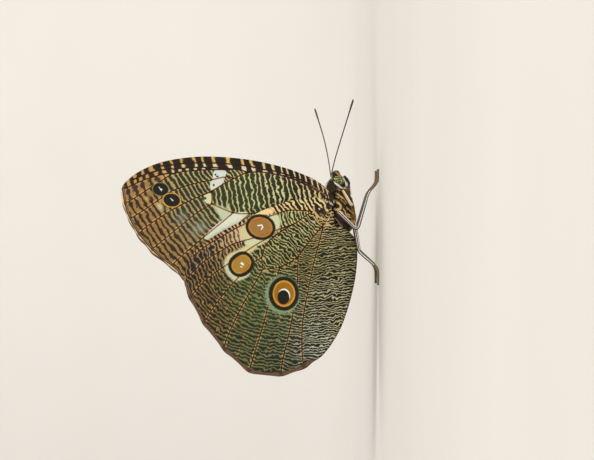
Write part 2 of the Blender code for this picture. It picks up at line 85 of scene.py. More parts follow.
WING_ROOTS = (0.0, 10.0)             # the far wings turn about this place
GUTTER_TOP, GUTTER_DEPTH = 1.0, 2.0  # below the bulge's foot
SLOPE_STEP = 0.01
THORAX_FRONT = 1.5

FOREWING_OUTLINE = (
    (1.7, 10.6), (4.0, 13.1), (6.6, 19.0), (8.5, 26.3), (9.45, 33.6), (9.5, 40.9),
    (8.1, 48.7), (5.3, 54.3), (2.2, 56.9), (-2.4, 56.0), (-6.9, 53.8), (-11.7, 49.8),
    (-15.2, 45.4), (-17.8, 42.4), (-17.0, 38.6), (-9.5, 25.0), (-4.0, 14.0),
    (-2.1, 10.5), (-1.5, 9.7), (0.8, 9.8),
)
HINDWING_OUTLINE = (
    (-2.7, 9.6), (-1.3, 10.9), (0.1, 12.7), (0.4, 15.0), (-0.1, 19.0), (-1.8, 24.2),
    (-4.6, 30.0), (-7.8, 35.9), (-11.2, 40.4), (-15.0, 42.3), (-18.7, 42.8),
    (-23.4, 41.0), (-27.4, 38.8), (-31.4, 35.9), (-35.3, 32.2), (-38.1, 28.7),
    (-39.0, 25.2), (-38.9, 21.0), (-37.5, 16.8), (-34.5, 12.6), (-30.5, 9.6),
    (-26.1, 7.5), (-21.0, 6.2), (-15.5, 5.4), (-10.4, 5.3), (-7.2, 6.2), (-5.6, 7.8),
    (-5.2, 9.3),
)
FOREWING_VEINS = {
    "subcosta": ((1.6, 12.35), (3.2, 14.5), (5.1, 18.6), (6.3, 22.5), (6.85, 26.0), (7.4, 28.3),
                 (7.75, 31.0), (8.1, 35.0), (8.2, 39.0), (8.0, 43.2), (7.65, 46.3), (7.5, 48.6)),
    "radius": ((0.9, 11.0), (3.2, 15.6), (5.3, 21.0), (6.1, 28.3), (3.9, 33.4), (2.0, 36.7)),
    "cell_end": ((2.0, 36.7), (-0.9, 36.7)),
    "cubitus": ((0.2, 11.0), (-1.7, 20.0), (-3.0, 28.3), (-2.8, 31.9), (-0.9, 36.7)),
    "radial_2": ((5.85, 45.2), (5.85, 46.4), (5.7, 47.4), (5.04, 49.7), (4.35, 51.9), (3.3, 54.2),
                 (2.6, 55.7)),
    "radial_3": ((6.15, 28.6), (6.75, 31.5), (7.15, 36.0), (7.2, 40.4), (7.0, 43.2), (6.85, 45.5),
                 (6.65, 47.6), (6.25, 49.6), (5.7, 51.4), (5.05, 52.9), (4.4, 54.4)),
    "radial_4": ((6.6, 32.5), (6.7, 36.0), (6.5, 40.4), (6.25, 43.2), (5.75, 45.3), (5.15, 46.5),
                 (4.25, 47.9), (3.15, 49.7), (1.8, 51.7), (0.2, 54.2), (-0.6, 55.6)),
    "radial_5": ((4.9, 32.3), (5.1, 33.6), (4.25, 37.6), (3.65, 40.4), (2.75, 43.6), (1.8, 45.9),
                 (-0.6, 49.3), (-2.6, 52.3), (-3.9, 54.4)),
    "medial_1": ((2.0, 36.7), (-0.7, 42.7), (-2.8, 46.5), (-6.6, 52.0), (-7.9, 53.1)),
    "medial_2": ((-0.9, 36.7), (-2.7, 39.8), (-6.6, 44.7), (-10.2, 49.1), (-11.2, 50.2)),
    "medial_3": ((-2.8, 31.9), (-6.0, 35.8), (-8.8, 39.2), (-14.2, 45.3), (-15.1, 46.0)),
    "cubital_2": ((-3.0, 28.3), (-8.0, 34.0), (-13.5, 40.0), (-17.2, 43.2)),
    "anal": ((-0.4, 11.6), (-4.6, 18.6), (-10.5, 29.5), (-16.6, 40.3)),
}
HINDWING_VEINS = {
    "trunk": ((-2.9, 10.9), (-2.6, 13.2), (-3.2, 15.0)),
    "radial": ((-2.6, 13.2), (-2.3, 19.7), (-3.3, 23.0), (-5.3, 29.4), (-8.2, 34.7),
               (-10.4, 38.3), (-12.8, 41.2)),
    "cell_top": ((-3.2, 15.0), (-5.0, 18.0), (-7.2, 21.7), (-9.7, 24.6), (-12.8, 25.7)),
    "cell_end": ((-12.8, 25.7), (-15.3, 25.4)),
    "cell_bottom": ((-4.2, 10.8), (-9.3, 15.0), (-12.8, 18.1), (-14.8, 21.7), (-15.3, 25.4)),
    "medial_1": ((-5.0, 18.0), (-6.4, 21.7), (-8.2, 26.8), (-9.7, 31.9), (-11.3, 34.7),
                 (-13.5, 38.3), (-17.5, 42.4)),
    "medial_2": ((-7.2, 21.7), (-9.7, 26.6), (-13.7, 32.5), (-17.9, 38.3), (-21.6, 41.5)),
    "medial_3": ((-12.8, 25.7), (-13.9, 27.7), (-17.3, 31.0), (-20.4, 33.8), (-24.3, 36.7),
                 (-27.4, 38.6)),
    "cubital_1": ((-15.3, 25.4), (-18.8, 27.4), (-23.2, 29.9), (-31.2, 33.6), (-33.6, 34.1)),
    "cubital_2": ((-14.8, 21.7), (-16.4, 22.1), (-22.1, 23.9), (-27.0, 25.2), (-33.6, 27.2),
                  (-38.1, 28.6)),
    "anal_2": ((-9.3, 15.0), (-11.9, 17.3), (-19.2, 17.9), (-28.8, 19.5), (-35.2, 21.0),
               (-38.8, 21.6)),
    "anal_3": ((-5.2, 11.6), (-9.0, 12.6), (-14.0, 13.9), (-20.0, 15.2), (-27.0, 16.6),
               (-33.2, 16.8), (-37.2, 16.4)),
}

# Wing meshes
FILM_LOW, FILM_HIGH = 0.2, 0.47      # the visible membrane inside the solid one
RIM_STEP, VEIN_STEP, NET_STEP = 0.5, 0.55, 0.55
RIDGE_HALF_WIDTH, RIDGE_HEIGHT = 0.2, 0.07
BRIDGE = 2.3                         # a vein's end joins what lies this near
SCALLOP, SCALLOP_REACH, SCALLOP_FADE = 0.32, 1.7, 3.0
MARGIN_FADE = 1.4                    # how far the margin's band draws back at its end
FINE_STEP, FINE_MIDDLE, FINE_REACH = 0.24, (0.3, 12.7), 5.7     # finer net near the roots
FINE_SKEW = 0.07                     # how far the finer net's rows are set off
VEIN_MERGE, FOOT_MERGE = 0.3, 0.12   # points nearer than this are one
FOOT_CLEAR = (0.25, 0.9)             # from the rim, and share of a ridge's half width
NET_CLEAR, FINE_CLEAR = (0.3, 0.22), (0.16, 0.1)    # from the rim, and from a ridge's foot
ON_MARGIN = 0.6                      # the rim within this of the margin's outline is scalloped
RIM_WIDTH, RIM_THINNING = 0.8, 0.06  # how the membrane thins towards its rim
CURVE_STEPS = 16                     # points between two knots of a smooth curve
NET_EPSILON, TINY = 1e-4, 1e-12
RIDGES_OFF = 3.0                     # half widths added to a distance to hide a vein


def place():
    """How far the part lies from the design frame, in millimetres."""
    low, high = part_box("thorax")
    return Vector((high.x / MM - THORAX_FRONT, (low.y + high.y) / 2 / MM, 0.0))


SHIFT = place()


def new_object(name, data, *materials):
    for material in materials:
        data.materials.append(material)
    obj = bpy.data.objects.new(name, data)
    bpy.context.scene.collection.objects.link(obj)
    return obj


def in_metres(places):
    """Places of the design frame, in millimetres, as the part's own in metres."""
    return (places + np.array(SHIFT)) * MM


def smoothstep(t):
    t = np.clip(t, 0, 1)
    return t * t * (3 - 2 * t)


def bell(values, middle, width):
    """1 at the middle, falling to 0 on both sides."""
    return np.exp(-(((values - middle) / width) ** 2))


def unit(rows):
    """Vectors in rows, each made one long."""
    return rows / np.linalg.norm(rows, axis=1)[:, None]


def circle(sides):
    """Angles spread evenly round a circle."""
    return 2 * math.pi * np.arange(sides) / sides


def run_along(points):
    """The length run from the first point of a path to each."""
    return np.concatenate([[0], np.cumsum(np.linalg.norm(np.diff(points, axis=0), axis=1))])


def resampled(points, run, marks):
    """A path's places at some lengths, where `run` is the length at each of its points."""
    return np.column_stack([np.interp(marks, run, column) for column in points.T])


def catmull(a, b, c, d, steps):
    """Points from b up to c on a centripetal Catmull-Rom curve."""
    knots = [0.0]
    for p, q in ((a, b), (b, c), (c, d)):
        knots.append(knots[-1] + max(np.linalg.norm(q - p), 1e-6) ** 0.5)
    t0, t1, t2, t3 = knots
    points = []
    for t in np.linspace(t1, t2, steps, endpoint=False):
        ab = (t1 - t) / (t1 - t0) * a + (t - t0) / (t1 - t0) * b
        bc = (t2 - t) / (t2 - t1) * b + (t - t1) / (t2 - t1) * c
        cd = (t3 - t) / (t3 - t2) * c + (t - t2) / (t3 - t2) * d
        abc = (t2 - t) / (t2 - t0) * ab + (t - t0) / (t2 - t0) * bc
        bcd = (t3 - t) / (t3 - t1) * bc + (t - t1) / (t3 - t1) * cd
        points.append((t2 - t) / (t2 - t1) * abc + (t - t1) / (t2 - t1) * bcd)
    return points


def smooth_curve(points, spacing, closed=False):
    """Points about `spacing` apart on a smooth curve through `points`."""
    knots = [np.array(p, float) for p in points]
    if closed:
        knots = [knots[-1], *knots, knots[0], knots[1]]
    else:
        knots = [2 * knots[0] - knots[1], *knots, 2 * knots[-1] - knots[-2]]
    dense = []
    for quad in zip(knots, knots[1:], knots[2:], knots[3:]):
        dense += catmull(*quad, CURVE_STEPS)
    dense = np.array([*dense, knots[-2]])
    run = run_along(dense)
    marks = np.linspace(0, run[-1], max(2, round(run[-1] / spacing) + 1))
    curve = resampled(dense, run, marks)
    return curve[:-1] if closed else curve


def nearest_on(points, line):
    """Each point's distance to a polyline, and the length along it at the nearest place."""
    best = np.full(len(points), np.inf)
    along = np.zeros(len(points))
    run = 0.0
    for a, b in zip(line, line[1:]):
        step = b - a
        length = np.linalg.norm(step)
        t = np.clip((points - a) @ step / length ** 2, 0, 1)
        gap = np.linalg.norm(points - a - t[:, None] * step, axis=1)
        closer = gap < best
        best[closer] = gap[closer]
        along[closer] = run + t[closer] * length
        run += length
    return best, along


def distance_to_lines(points, lines):
    """Each point's distance to the nearest of some polylines."""
    return np.min([nearest_on(points, line)[0] for line in lines], axis=0)


def inside(points, outline):
    """Which points lie inside a closed outline, by the even-odd rule."""
    x, z = points[:, 0], points[:, 1]
    odd = np.zeros(len(points), bool)
    for a, b in zip(outline, np.roll(outline, -1, axis=0)):
        crosses = (a[1] > z) != (b[1] > z)
        rise = b[1] - a[1] if abs(b[1] - a[1]) > TINY else TINY
        odd ^= crosses & (x < (b[0] - a[0]) * (z - a[1]) / rise + a[0])
    return odd


def wing_offset(x, z):
    """How far a wing's inner side stands off the middle plane at (x, z)."""
    across_thorax = THORAX_BULGE * np.exp(-(((x - THORAX_X) / THORAX_REACH) ** 2))
    fade = 1 - smoothstep((ABDOMEN_FADE_START - x) / ABDOMEN_FADE_LENGTH)
    rise = np.clip((z - BULGE_FOOT) / (BULGE_TOP - BULGE_FOOT), 0, 1)
    profile = 0.5 * (1 + np.cos(math.pi * rise))
    below = np.clip(BULGE_FOOT - GUTTER_TOP - z, 0, GUTTER_DEPTH) / GUTTER_DEPTH
    return (WAIST_BULGE * fade + across_thorax) * (profile - GUTTER_TURN_IN * below ** 2)


def wing_middle(x, z, side):
    """The y of a side's wings before their layers are set out."""
    lean = WING_LEAN * (np.clip(z - LEAN_START, 0, None) / LEAN_SPAN) ** 2
    return side * wing_offset(x, z) + lean


def wing_surface(flat, height, side):
    """Points `height` out from a side's wing surface, over the flat places (x, z)."""
    x, z = flat[:, 0], flat[:, 1]
    step = SLOPE_STEP
    slope_x = (wing_middle(x + step, z, side) - wing_middle(x - step, z, side)) / (2 * step)
    slope_z = (wing_middle(x, z + step, side) - wing_middle(x, z - step, side)) / (2 * step)
    normal = unit(np.column_stack([-slope_x, np.ones(len(x)), -slope_z]) * side)
    return np.column_stack([x, wing_middle(x, z, side), z]) + normal * height[:, None]


def turned(points, degrees):
    """Flat points turned about the wing roots."""
    pivot = np.array(WING_ROOTS)
    angle = math.radians(degrees)
    turn = np.array([[math.cos(angle), -math.sin(angle)], [math.sin(angle), math.cos(angle)]])
    return pivot + (np.array(points, float) - pivot) @ turn


def hindwing_level(flat):
    """The height of a hindwing's inner face: over the forewing, and closed up behind it."""
    start, end = np.array(FOREWING_TAIL)
    along = (end - start) / np.linalg.norm(end - start)
    behind = (flat - start) @ np.array([-along[1], along[0]])
    closed = smoothstep((behind - CLOSE_START) / CLOSE_LENGTH)
    body = distance_to_lines(flat, [np.array(ABDOMEN_LINE)])
    closed *= smoothstep((body - ABDOMEN_CLEAR) / ABDOMEN_EASE)
    return HINDWING_LEVEL - (HINDWING_LEVEL - FOREWING_LEVEL) * closed


class FlatNet:
    """Flat points and the edges that a triangulation has to keep."""

    def __init__(self, outline):
        self.points = [np.array(p) for p in outline]
        count = len(self.points)
        self.walls = [(i, (i + 1) % count) for i in range(count)]

    def gaps(self, point):
        return np.linalg.norm(np.array(self.points) - point, axis=1)

    def add(self, point, merge):
        """The index of a point, which is an old one if that is within `merge`."""
        known = self.gaps(point)
        nearest = int(np.argmin(known))
        if known[nearest] < merge:
            return nearest
        self.points.append(np.array(point))
        return len(self.points) - 1

    def add_vein(self, line):
        """Add a vein's points, with walls between them."""
        indices = [self.add(p, VEIN_MERGE) for p in line]
        self.walls += [(i, j) for i, j in zip(indices, indices[1:]) if i != j]
        return indices

    def bridge(self, index, own):
        """Join a vein's end to the nearest rim or other vein."""
        known = self.gaps(self.points[index])
        known[list(own)] = np.inf
        nearest = int(np.argmin(known))
        if known[nearest] < BRIDGE:
            self.walls.append((index, nearest))

    def triangles(self):
        """Points, triangles, and which triangles share a cell between the veins."""
        flat = [Vector(p) for p in self.points]
        result = delaunay_2d_cdt(flat, self.walls, [], 1, NET_EPSILON)
        points = np.array([list(v) for v in result[0]])
        faces = [tuple(f) for f in result[2]]
        wall_count = len(self.walls)
        walls = {
            frozenset(edge) for edge, source in zip(result[1], result[4])
            if any(k < wall_count for k in source)
        }
        return points, faces, cells_of(faces, walls)


def meeting(faces):
    """For each edge, the triangles that meet there, each with its own way along the edge."""
    meets = {}
    for k, (a, b, c) in enumerate(faces):
        for edge in ((a, b), (b, c), (c, a)):
            meets.setdefault(frozenset(edge), []).append((k, edge))
    return meets


def cells_of(faces, walls):
    """A label for each triangle, alike where no wall parts them."""
    touching = [[] for _ in faces]
    for edge, found in meeting(faces).items():
        if len(found) == 2 and edge not in walls:
            one, two = found[0][0], found[1][0]
            touching[one].append(two)
            touching[two].append(one)
    labels = [-1] * len(faces)
    for first in range(len(faces)):
        if labels[first] >= 0:
            continue
        labels[first] = first
        waiting = [first]
        while waiting:
            for other in touching[waiting.pop()]:
                if labels[other] < 0:
                    labels[other] = first
                    waiting.append(other)
    return np.array(labels)


def scalloped(rim, outline_part, vein_ends):
    """The rim drawn in between the vein ends, on the outer margin only."""
    on_margin = distance_to_lines(rim, [outline_part]) < ON_MARGIN
    gap = np.min(np.linalg.norm(rim[:, None] - np.array(vein_ends)[None], axis=2), axis=1)
    along = np.roll(rim, -1, axis=0) - np.roll(rim, 1, axis=0)
    inward = unit(np.column_stack([-along[:, 1], along[:, 0]]))
    flip = np.sign(np.sum(inward * (rim.mean(axis=0) - rim), axis=1))
    depth = SCALLOP * (1 - bell(gap, 0, SCALLOP_REACH)) * on_margin
    depth *= smoothstep(np.linalg.norm(rim - outline_part[-1], axis=1) / SCALLOP_FADE)
    return rim + inward * (flip * depth)[:, None]


def clear_of(places, rim, ring, veins, from_rim, from_vein):
    """Which places lie inside the rim, clear of it and of the veins."""
    free = inside(places, rim) & (distance_to_lines(places, [ring]) > from_rim)
    return free & (distance_to_lines(places, veins) > from_vein)


def wing_net(outline, veins, margin):
    """The flat net of a wing: its points, triangles, their cells, and the vein lines."""
    rim = smooth_curve(outline, RIM_STEP, closed=True)
    rim = scalloped(rim, np.array(outline[margin[0]:margin[1]]), [v[-1] for v in veins.values()])
    ring = np.vstack([rim, rim[:1]])
    net = FlatNet(rim)
    lines = {}
    ends = []
    for name, vein in veins.items():
        line = smooth_curve(vein, VEIN_STEP)
        lines[name] = line[inside(line, rim) & (distance_to_lines(line, [ring]) > VEIN_MERGE)]
        indices = net.add_vein(lines[name])
        ends.append((indices[0], indices[-1], set(indices)))
    for first, last, own in ends:
        net.bridge(first, own)
        net.bridge(last, own)
    strokes = list(lines.values())
    for line in strokes:
        along = np.gradient(line, axis=0)
        across = np.column_stack([-along[:, 1], along[:, 0]])
        across *= RIDGE_HALF_WIDTH / np.linalg.norm(across, axis=1)[:, None]
        for foot in (line + across, line - across):
            clear = clear_of(foot, rim, ring, strokes, FOOT_CLEAR[0],
                             RIDGE_HALF_WIDTH * FOOT_CLEAR[1])
            for point in foot[clear]:
                net.add(point, FOOT_MERGE)
    low, high = rim.min(axis=0), rim.max(axis=0)
    columns = np.arange(low[0], high[0], NET_STEP)
    rows = np.arange(low[1], high[1], NET_STEP * math.sqrt(0.75))
    grid = np.array([
        (x + 0.5 * (j % 2) * NET_STEP, z) for j, z in enumerate(rows) for x in columns
    ])
    root = np.array(FINE_MIDDLE)
    steps = np.arange(-FINE_REACH, FINE_REACH, FINE_STEP)
    fine = np.array([
        root + (a + FINE_SKEW * (j % 3), b) for j, b in enumerate(steps) for a in steps
    ])
    far = np.linalg.norm(grid - root, axis=1) > FINE_REACH
    near = np.linalg.norm(fine - root, axis=1) <= FINE_REACH
    for places, kept, (from_rim, from_foot) in ((grid, far, NET_CLEAR), (fine, near, FINE_CLEAR)):
        kept &= clear_of(places, rim, ring, strokes, from_rim, RIDGE_HALF_WIDTH + from_foot)
        net.points += list(places[kept])
    return *net.triangles(), lines, ring


# Wing markings
def rgb(*values):
    """Screen colour, 0 to 255, as the linear colour that shaders take."""
    parts = np.array(values, float) / 255
    return tuple(np.where(parts <= 0.04045, parts / 12.92, ((parts + 0.055) / 1.055) ** 2.4))


# Paint: place (x, z), reach, ground colour, stripe colour, share of stripe, waviness
FOREWING_PAINT = (
    ((1.0, 13.5), 5.0, (36, 29, 20), (216, 196, 140), 0.33, 1.0),
    ((1.5, 21.0), 5.0, (52, 48, 34), (214, 212, 150), 0.27, 1.0),
    ((1.0, 29.5), 6.0, (60, 69, 45), (203, 198, 132), 0.27, 0.9),
    ((4.6, 39.5), 5.0, (51, 60, 43), (184, 170, 106), 0.27, 0.5),
    ((1.5, 42.0), 4.0, (54, 58, 40), (166, 147, 88), 0.33, 0.5),
    ((2.5, 52.0), 5.0, (54, 44, 34), (150, 116, 66), 0.54, 0.8),
    ((-5.5, 51.0), 5.0, (52, 42, 29), (146, 112, 60), 0.57, 0.6),
    ((-2.0, 41.0), 4.0, (56, 66, 56), (148, 137, 96), 0.36, 0.6),
    ((-7.0, 40.0), 4.0, (64, 66, 50), (150, 128, 80), 0.46, 0.5),
    ((-12.0, 44.0), 5.0, (49, 40, 29), (146, 114, 64), 0.52, 0.6),
)
HINDWING_PAINT = (
    ((-3.5, 12.0), 4.0, (34, 28, 17), (192, 176, 118), 0.36, 1.4),
    ((-6.5, 19.0), 5.0, (38, 38, 20), (186, 182, 120), 0.34, 1.5),
    ((-11.5, 23.0), 5.0, (45, 49, 26), (180, 178, 116), 0.36, 1.5),
    ((-8.0, 34.0), 5.0, (50, 46, 36), (178, 144, 92), 0.40, 1.4),
    ((-15.0, 39.0), 5.0, (32, 28, 22), (128, 100, 62), 0.38, 1.2),
    ((-18.5, 30.5), 5.0, (40, 54, 34), (114, 120, 68), 0.42, 1.5),
    ((-22.5, 36.0), 6.0, (29, 28, 17), (120, 96, 53), 0.44, 1.1),
    ((-22.0, 26.5), 5.0, (50, 70, 41), (108, 121, 68), 0.42, 1.5),
    ((-14.5, 16.5), 5.0, (22, 22, 8), (116, 116, 63), 0.38, 1.7),
    ((-30.0, 27.0), 6.0, (30, 46, 32), (110, 107, 62), 0.42, 1.3),
    ((-33.0, 20.0), 5.0, (24, 42, 33), (110, 108, 68), 0.34, 1.3),
    ((-27.0, 20.5), 4.0, (44, 67, 42), (106, 114, 68), 0.40, 1.3),
    ((-25.0, 15.5), 5.0, (32, 42, 27), (138, 136, 94), 0.36, 1.7),
    ((-30.5, 15.0), 4.5, (20, 46, 41), (204, 200, 180), 0.32, 1.5),
    ((-27.0, 9.5), 5.0, (24, 24, 17), (180, 171, 126), 0.36, 1.7),
    ((-13.0, 8.0), 6.0, (20, 18, 11), (164, 155, 106), 0.34, 1.8),
    ((-21.0, 9.0), 5.0, (22, 22, 15), (186, 178, 140), 0.34, 1.9),
)

# The middle of the front margin's band, and the heights of the bars across it
COSTAL_MIDDLE = (
    (2.0, 10.4), (3.0, 12.0), (4.5, 14.9), (6.2, 19.6), (7.5, 24.5), (8.3, 29.0), (8.85, 34.0),
    (8.95, 40.0), (8.4, 46.0), (6.9, 50.5), (5.2, 54.0), (3.6, 56.4),
)
COSTAL_BARS = (
    9.4, 10.4, 11.35, 12.2, 13.25, 14.5, 16.0, 17.25, 18.5, 20.05, 21.2, 23.15, 25.2, 27.9, 30.0,
    33.0, 36.25, 38.7, 40.55, 43.5, 45.75, 47.75, 50.2, 52.0, 53.8, 55.4, 57.0,
)
STRAND_BARS = (
    28.0, 30.4, 33.4, 36.6, 39.1, 40.8, 42.6, 44.15, 45.9, 47.7, 49.4, 51.4, 52.8, 54.0, 55.3,
    56.8,
)
# Paint of single cells, laid out like the wings' own
COSTAL_PAINT = (
    ((3.0, 13.0), 5.0, (30, 24, 17), (226, 208, 166), 0.26, 0.25),
    ((6.0, 20.0), 6.0, (36, 29, 20), (226, 202, 150), 0.26, 0.25),
    ((8.5, 33.0), 8.0, (38, 30, 20), (224, 178, 90), 0.25, 0.3),
    ((6.5, 50.0), 8.0, (40, 31, 19), (200, 150, 72), 0.2, 0.3),
)
INNER_COSTAL_PAINT = (
    ((2.0, 13.0), 5.0, (52, 38, 26), (190, 160, 116), 0.36, 0.5),
    ((5.6, 20.0), 4.0, (62, 46, 34), (196, 168, 132), 0.38, 0.5),
    ((7.2, 30.0), 5.0, (44, 35, 25), (218, 204, 172), 0.38, 0.3),
    ((7.2, 39.0), 6.0, (42, 34, 24), (220, 200, 156), 0.36, 0.3),
    ((5.5, 51.0), 6.0, (42, 34, 24), (188, 142, 72), 0.36, 0.3),
)
STRAND_PAINT = (
    ((6.9, 33.0), 4.0, (50, 42, 28), (206, 190, 146), 0.44, 0.3),
    ((6.7, 40.0), 4.0, (46, 38, 26), (216, 194, 148), 0.42, 0.3),
    ((6.3, 44.5), 2.5, (42, 34, 26), (214, 186, 138), 0.42, 0.3),
    ((4.8, 51.5), 5.0, (48, 40, 32), (190, 140, 66), 0.46, 0.3),
)
BLOTCH_PAINT = (
    ((4.6, 47.5), 3.0, (58, 50, 38), (150, 118, 64), 0.60, 0.8),
    ((3.0, 53.0), 5.0, (60, 50, 48), (158, 120, 66), 0.54, 0.8),
)
HIND_COSTAL_PAINT = (
    ((-1.0, 14.0), 5.0, (32, 26, 18), (224, 200, 140), 0.42, 0.9),
    ((-1.2, 21.0), 5.0, (34, 27, 20), (230, 198, 138), 0.40, 0.8),
    ((-4.5, 31.0), 4.0, (42, 34, 32), (216, 178, 128), 0.40, 0.8),
    ((-9.0, 38.0), 4.0, (36, 32, 29), (172, 130, 80), 0.38, 0.8),
)
HIND_RADIAL_PAINT = (
    ((-3.8, 20.0), 4.0, (54, 60, 36), (194, 196, 128), 0.36, 1.2),
    ((-5.8, 31.0), 3.0, (104, 82, 60), (208, 180, 138), 0.66, 1.0),
    ((-8.6, 35.0), 3.0, (50, 46, 42), (180, 146, 102), 0.42, 1.3),
    ((-12.0, 39.0), 3.0, (38, 38, 36), (142, 112, 72), 0.34, 1.4),
)
BAND_VEIN = 0.16                      # half width of the vein lines in the front band


def band_cell(seed, bars, lean, paint):
    """A cell of the front band, with bars at listed heights."""
    return {"seed": seed, "bars": bars, "lean": lean, "paint": paint, "vein": BAND_VEIN}


def vein_cell(seed, one, two, period, paint=None):
    """A cell whose stripes lie across two veins."""
    return {"seed": seed, "across": (one, two), "period": period, "paint": paint}


def lean_cell(seed, lean, period, paint=None):
    """A cell whose stripes lean by an angle."""
    return {"seed": seed, "lean": lean, "period": period, "paint": paint}


# Cells between the veins. Stripes lie across two veins, or lean by an angle from straight
# across the body. A period of two numbers runs from the outer end to the inner one.
FOREWING_CELLS = (
    band_cell((7.6, 24.0), COSTAL_BARS, 16, COSTAL_PAINT),
    band_cell((8.8, 40.0), COSTAL_BARS, 16, COSTAL_PAINT),
    band_cell((7.6, 38.0), COSTAL_BARS, 16, INNER_COSTAL_PAINT),
    band_cell((6.6, 50.0), COSTAL_BARS, 16, INNER_COSTAL_PAINT),
    band_cell((6.9, 39.0), STRAND_BARS, 14, STRAND_PAINT),
    band_cell((6.3, 47.5), STRAND_BARS, 14, STRAND_PAINT),
    lean_cell((1.5, 27.0), 10, 1.14),
    vein_cell((3.4, 50.9), "radial_2", "radial_4", (1.9, 1.5), BLOTCH_PAINT),
    vein_cell((2.4, 47.5), "radial_4", "radial_5", (1.5, 1.0)),
    vein_cell((-0.4, 45.8), "radial_5", "medial_1", (1.4, 0.8)),
    vein_cell((-3.6, 44.0), "medial_1", "medial_2", (1.3, 0.9)),
    vein_cell((-7.0, 41.0), "medial_2", "medial_3", (1.25, 0.95)),
    vein_cell((-7.5, 36.0), "medial_3", "cubital_2", 1.25),
    lean_cell((-3.6, 20.5), 36, 0.86),
)
HINDWING_CELLS = (
    lean_cell((-1.2, 19.3), 38, 0.89, HIND_COSTAL_PAINT),
    vein_cell((-5.0, 23.0), "radial", "medial_1", (1.15, 0.75), HIND_RADIAL_PAINT),
    vein_cell((-10.6, 30.0), "medial_1", "medial_2", (0.95, 0.75)),
    vein_cell((-13.0, 28.4), "medial_2", "medial_3", 0.84),
    vein_cell((-20.0, 30.4), "medial_3", "cubital_1", 0.84),
    vein_cell((-22.0, 27.0), "cubital_1", "cubital_2", 0.82),
    vein_cell((-18.0, 20.8), "cubital_2", "anal_2", (0.82, 0.7)),
    vein_cell((-19.5, 16.6), "anal_2", "anal_3", (0.74, 0.56)),
    lean_cell((-18.0, 10.0), 96, 0.58),
    lean_cell((-9.5, 20.0), 50, 0.7),
)

# Orange fold lines in the middle of cells
FOREWING_FOLDS = (
    ((-0.6, 39.5), (-4.6, 44.6), (-9.6, 50.9)),
    ((-3.2, 36.4), (-7.6, 41.8), (-13.0, 47.6)),
    ((-5.5, 33.6), (-11.0, 40.0), (-15.9, 44.4)),
    ((1.3, 42.0), (-0.6, 45.6), (-6.0, 53.4)),
    ((2.3, 47.0), (1.0, 49.4), (-2.0, 54.8)),
)
HINDWING_FOLDS = (
    ((-18.0, 24.0), (-26.0, 28.3), (-35.6, 31.4)),
    ((-17.0, 29.0), (-23.6, 33.2), (-30.2, 36.3)),
    ((-14.6, 32.0), (-19.4, 36.6), (-24.4, 39.8)),
    ((-12.0, 33.0), (-16.6, 38.6), (-19.4, 41.8)),
    ((-24.8, 21.2), (-31.0, 23.2), (-38.4, 25.2)),
    ((-9.0, 13.8), (-16.0, 15.4), (-26.0, 17.6), (-37.6, 19.0)),
)

# Patches, most of them pale: colour, softness of the edge, outline
FOREWING_PATCHES = (
    ((206, 213, 208), 0.1, ((6.4, 33.6), (6.4, 36.2), (4.5, 36.3), (5.2, 33.7))),
    ((206, 212, 204), 0.1, ((4.9, 33.8), (4.1, 37.0), (2.2, 36.8), (3.3, 34.7))),
    ((206, 207, 166), 0.16, ((1.5, 36.9), (0.7, 38.6), (-0.6, 38.0), (-0.9, 36.9))),
    ((218, 223, 200), 0.1, ((-2.9, 31.9), (-3.1, 28.4), (-8.9, 37.8), (-8.4, 38.4))),
    ((186, 199, 166), 0.5, ((-1.1, 36.4), (-2.7, 32.3), (-4.5, 34.4), (-3.0, 35.3))),
    ((150, 150, 126), 1.6, ((-4.9, 38.6), (-6.4, 38.2), (-7.6, 40.6), (-6.2, 40.8))),
    ((132, 132, 112), 1.6, ((-3.0, 42.6), (-4.4, 42.4), (-5.2, 44.2), (-3.8, 44.4))),
    ((200, 182, 134), 0.7, ((-0.5, 48.4), (-1.4, 47.6), (-2.5, 47.5), (-1.3, 48.9))),
    ((196, 164, 98), 0.8, ((0.6, 50.6), (-0.3, 50.9), (0.6, 51.8))),
)
HINDWING_PATCHES = (
    ((203, 206, 166), 0.5, ((-3.1, 23.4), (-3.4, 22.0), (-5.0, 21.5), (-6.4, 22.0),
                            (-8.2, 23.6), (-9.4, 24.9), (-10.2, 26.8), (-11.0, 28.2),
                            (-9.0, 29.5), (-5.5, 25.5))),
    ((204, 194, 146), 0.7, ((-8.9, 30.2), (-8.0, 30.5), (-6.6, 30.4), (-5.4, 29.5),
                            (-4.3, 28.7), (-3.6, 27.8), (-7.5, 26.5), (-8.6, 28.0))),
    ((210, 194, 142), 0.6, ((-11.2, 31.2), (-12.1, 33.1), (-13.4, 33.7), (-14.4, 33.0),
                            (-12.0, 28.6), (-10.3, 26.6), (-9.5, 27.4))),
    ((196, 196, 160), 0.5, ((-12.9, 33.6), (-15.3, 33.8), (-16.9, 32.9), (-17.9, 31.5),
                            (-17.4, 29.5), (-16.3, 28.3), (-14.5, 29.5))),
    ((236, 203, 150), 0.4, ((-3.9, 29.7), (-2.6, 27.9), (-2.0, 25.6), (-1.9, 23.6),
                            (-2.7, 22.9), (-3.2, 24.2), (-3.3, 26.6), (-4.2, 28.9))),
    ((30, 25, 19), 0.2, ((-0.9, 13.2), (-1.6, 13.5), (-2.9, 12.9), (-3.6, 11.8), (-2.6, 11.3),
                         (-1.8, 12.0))),
)
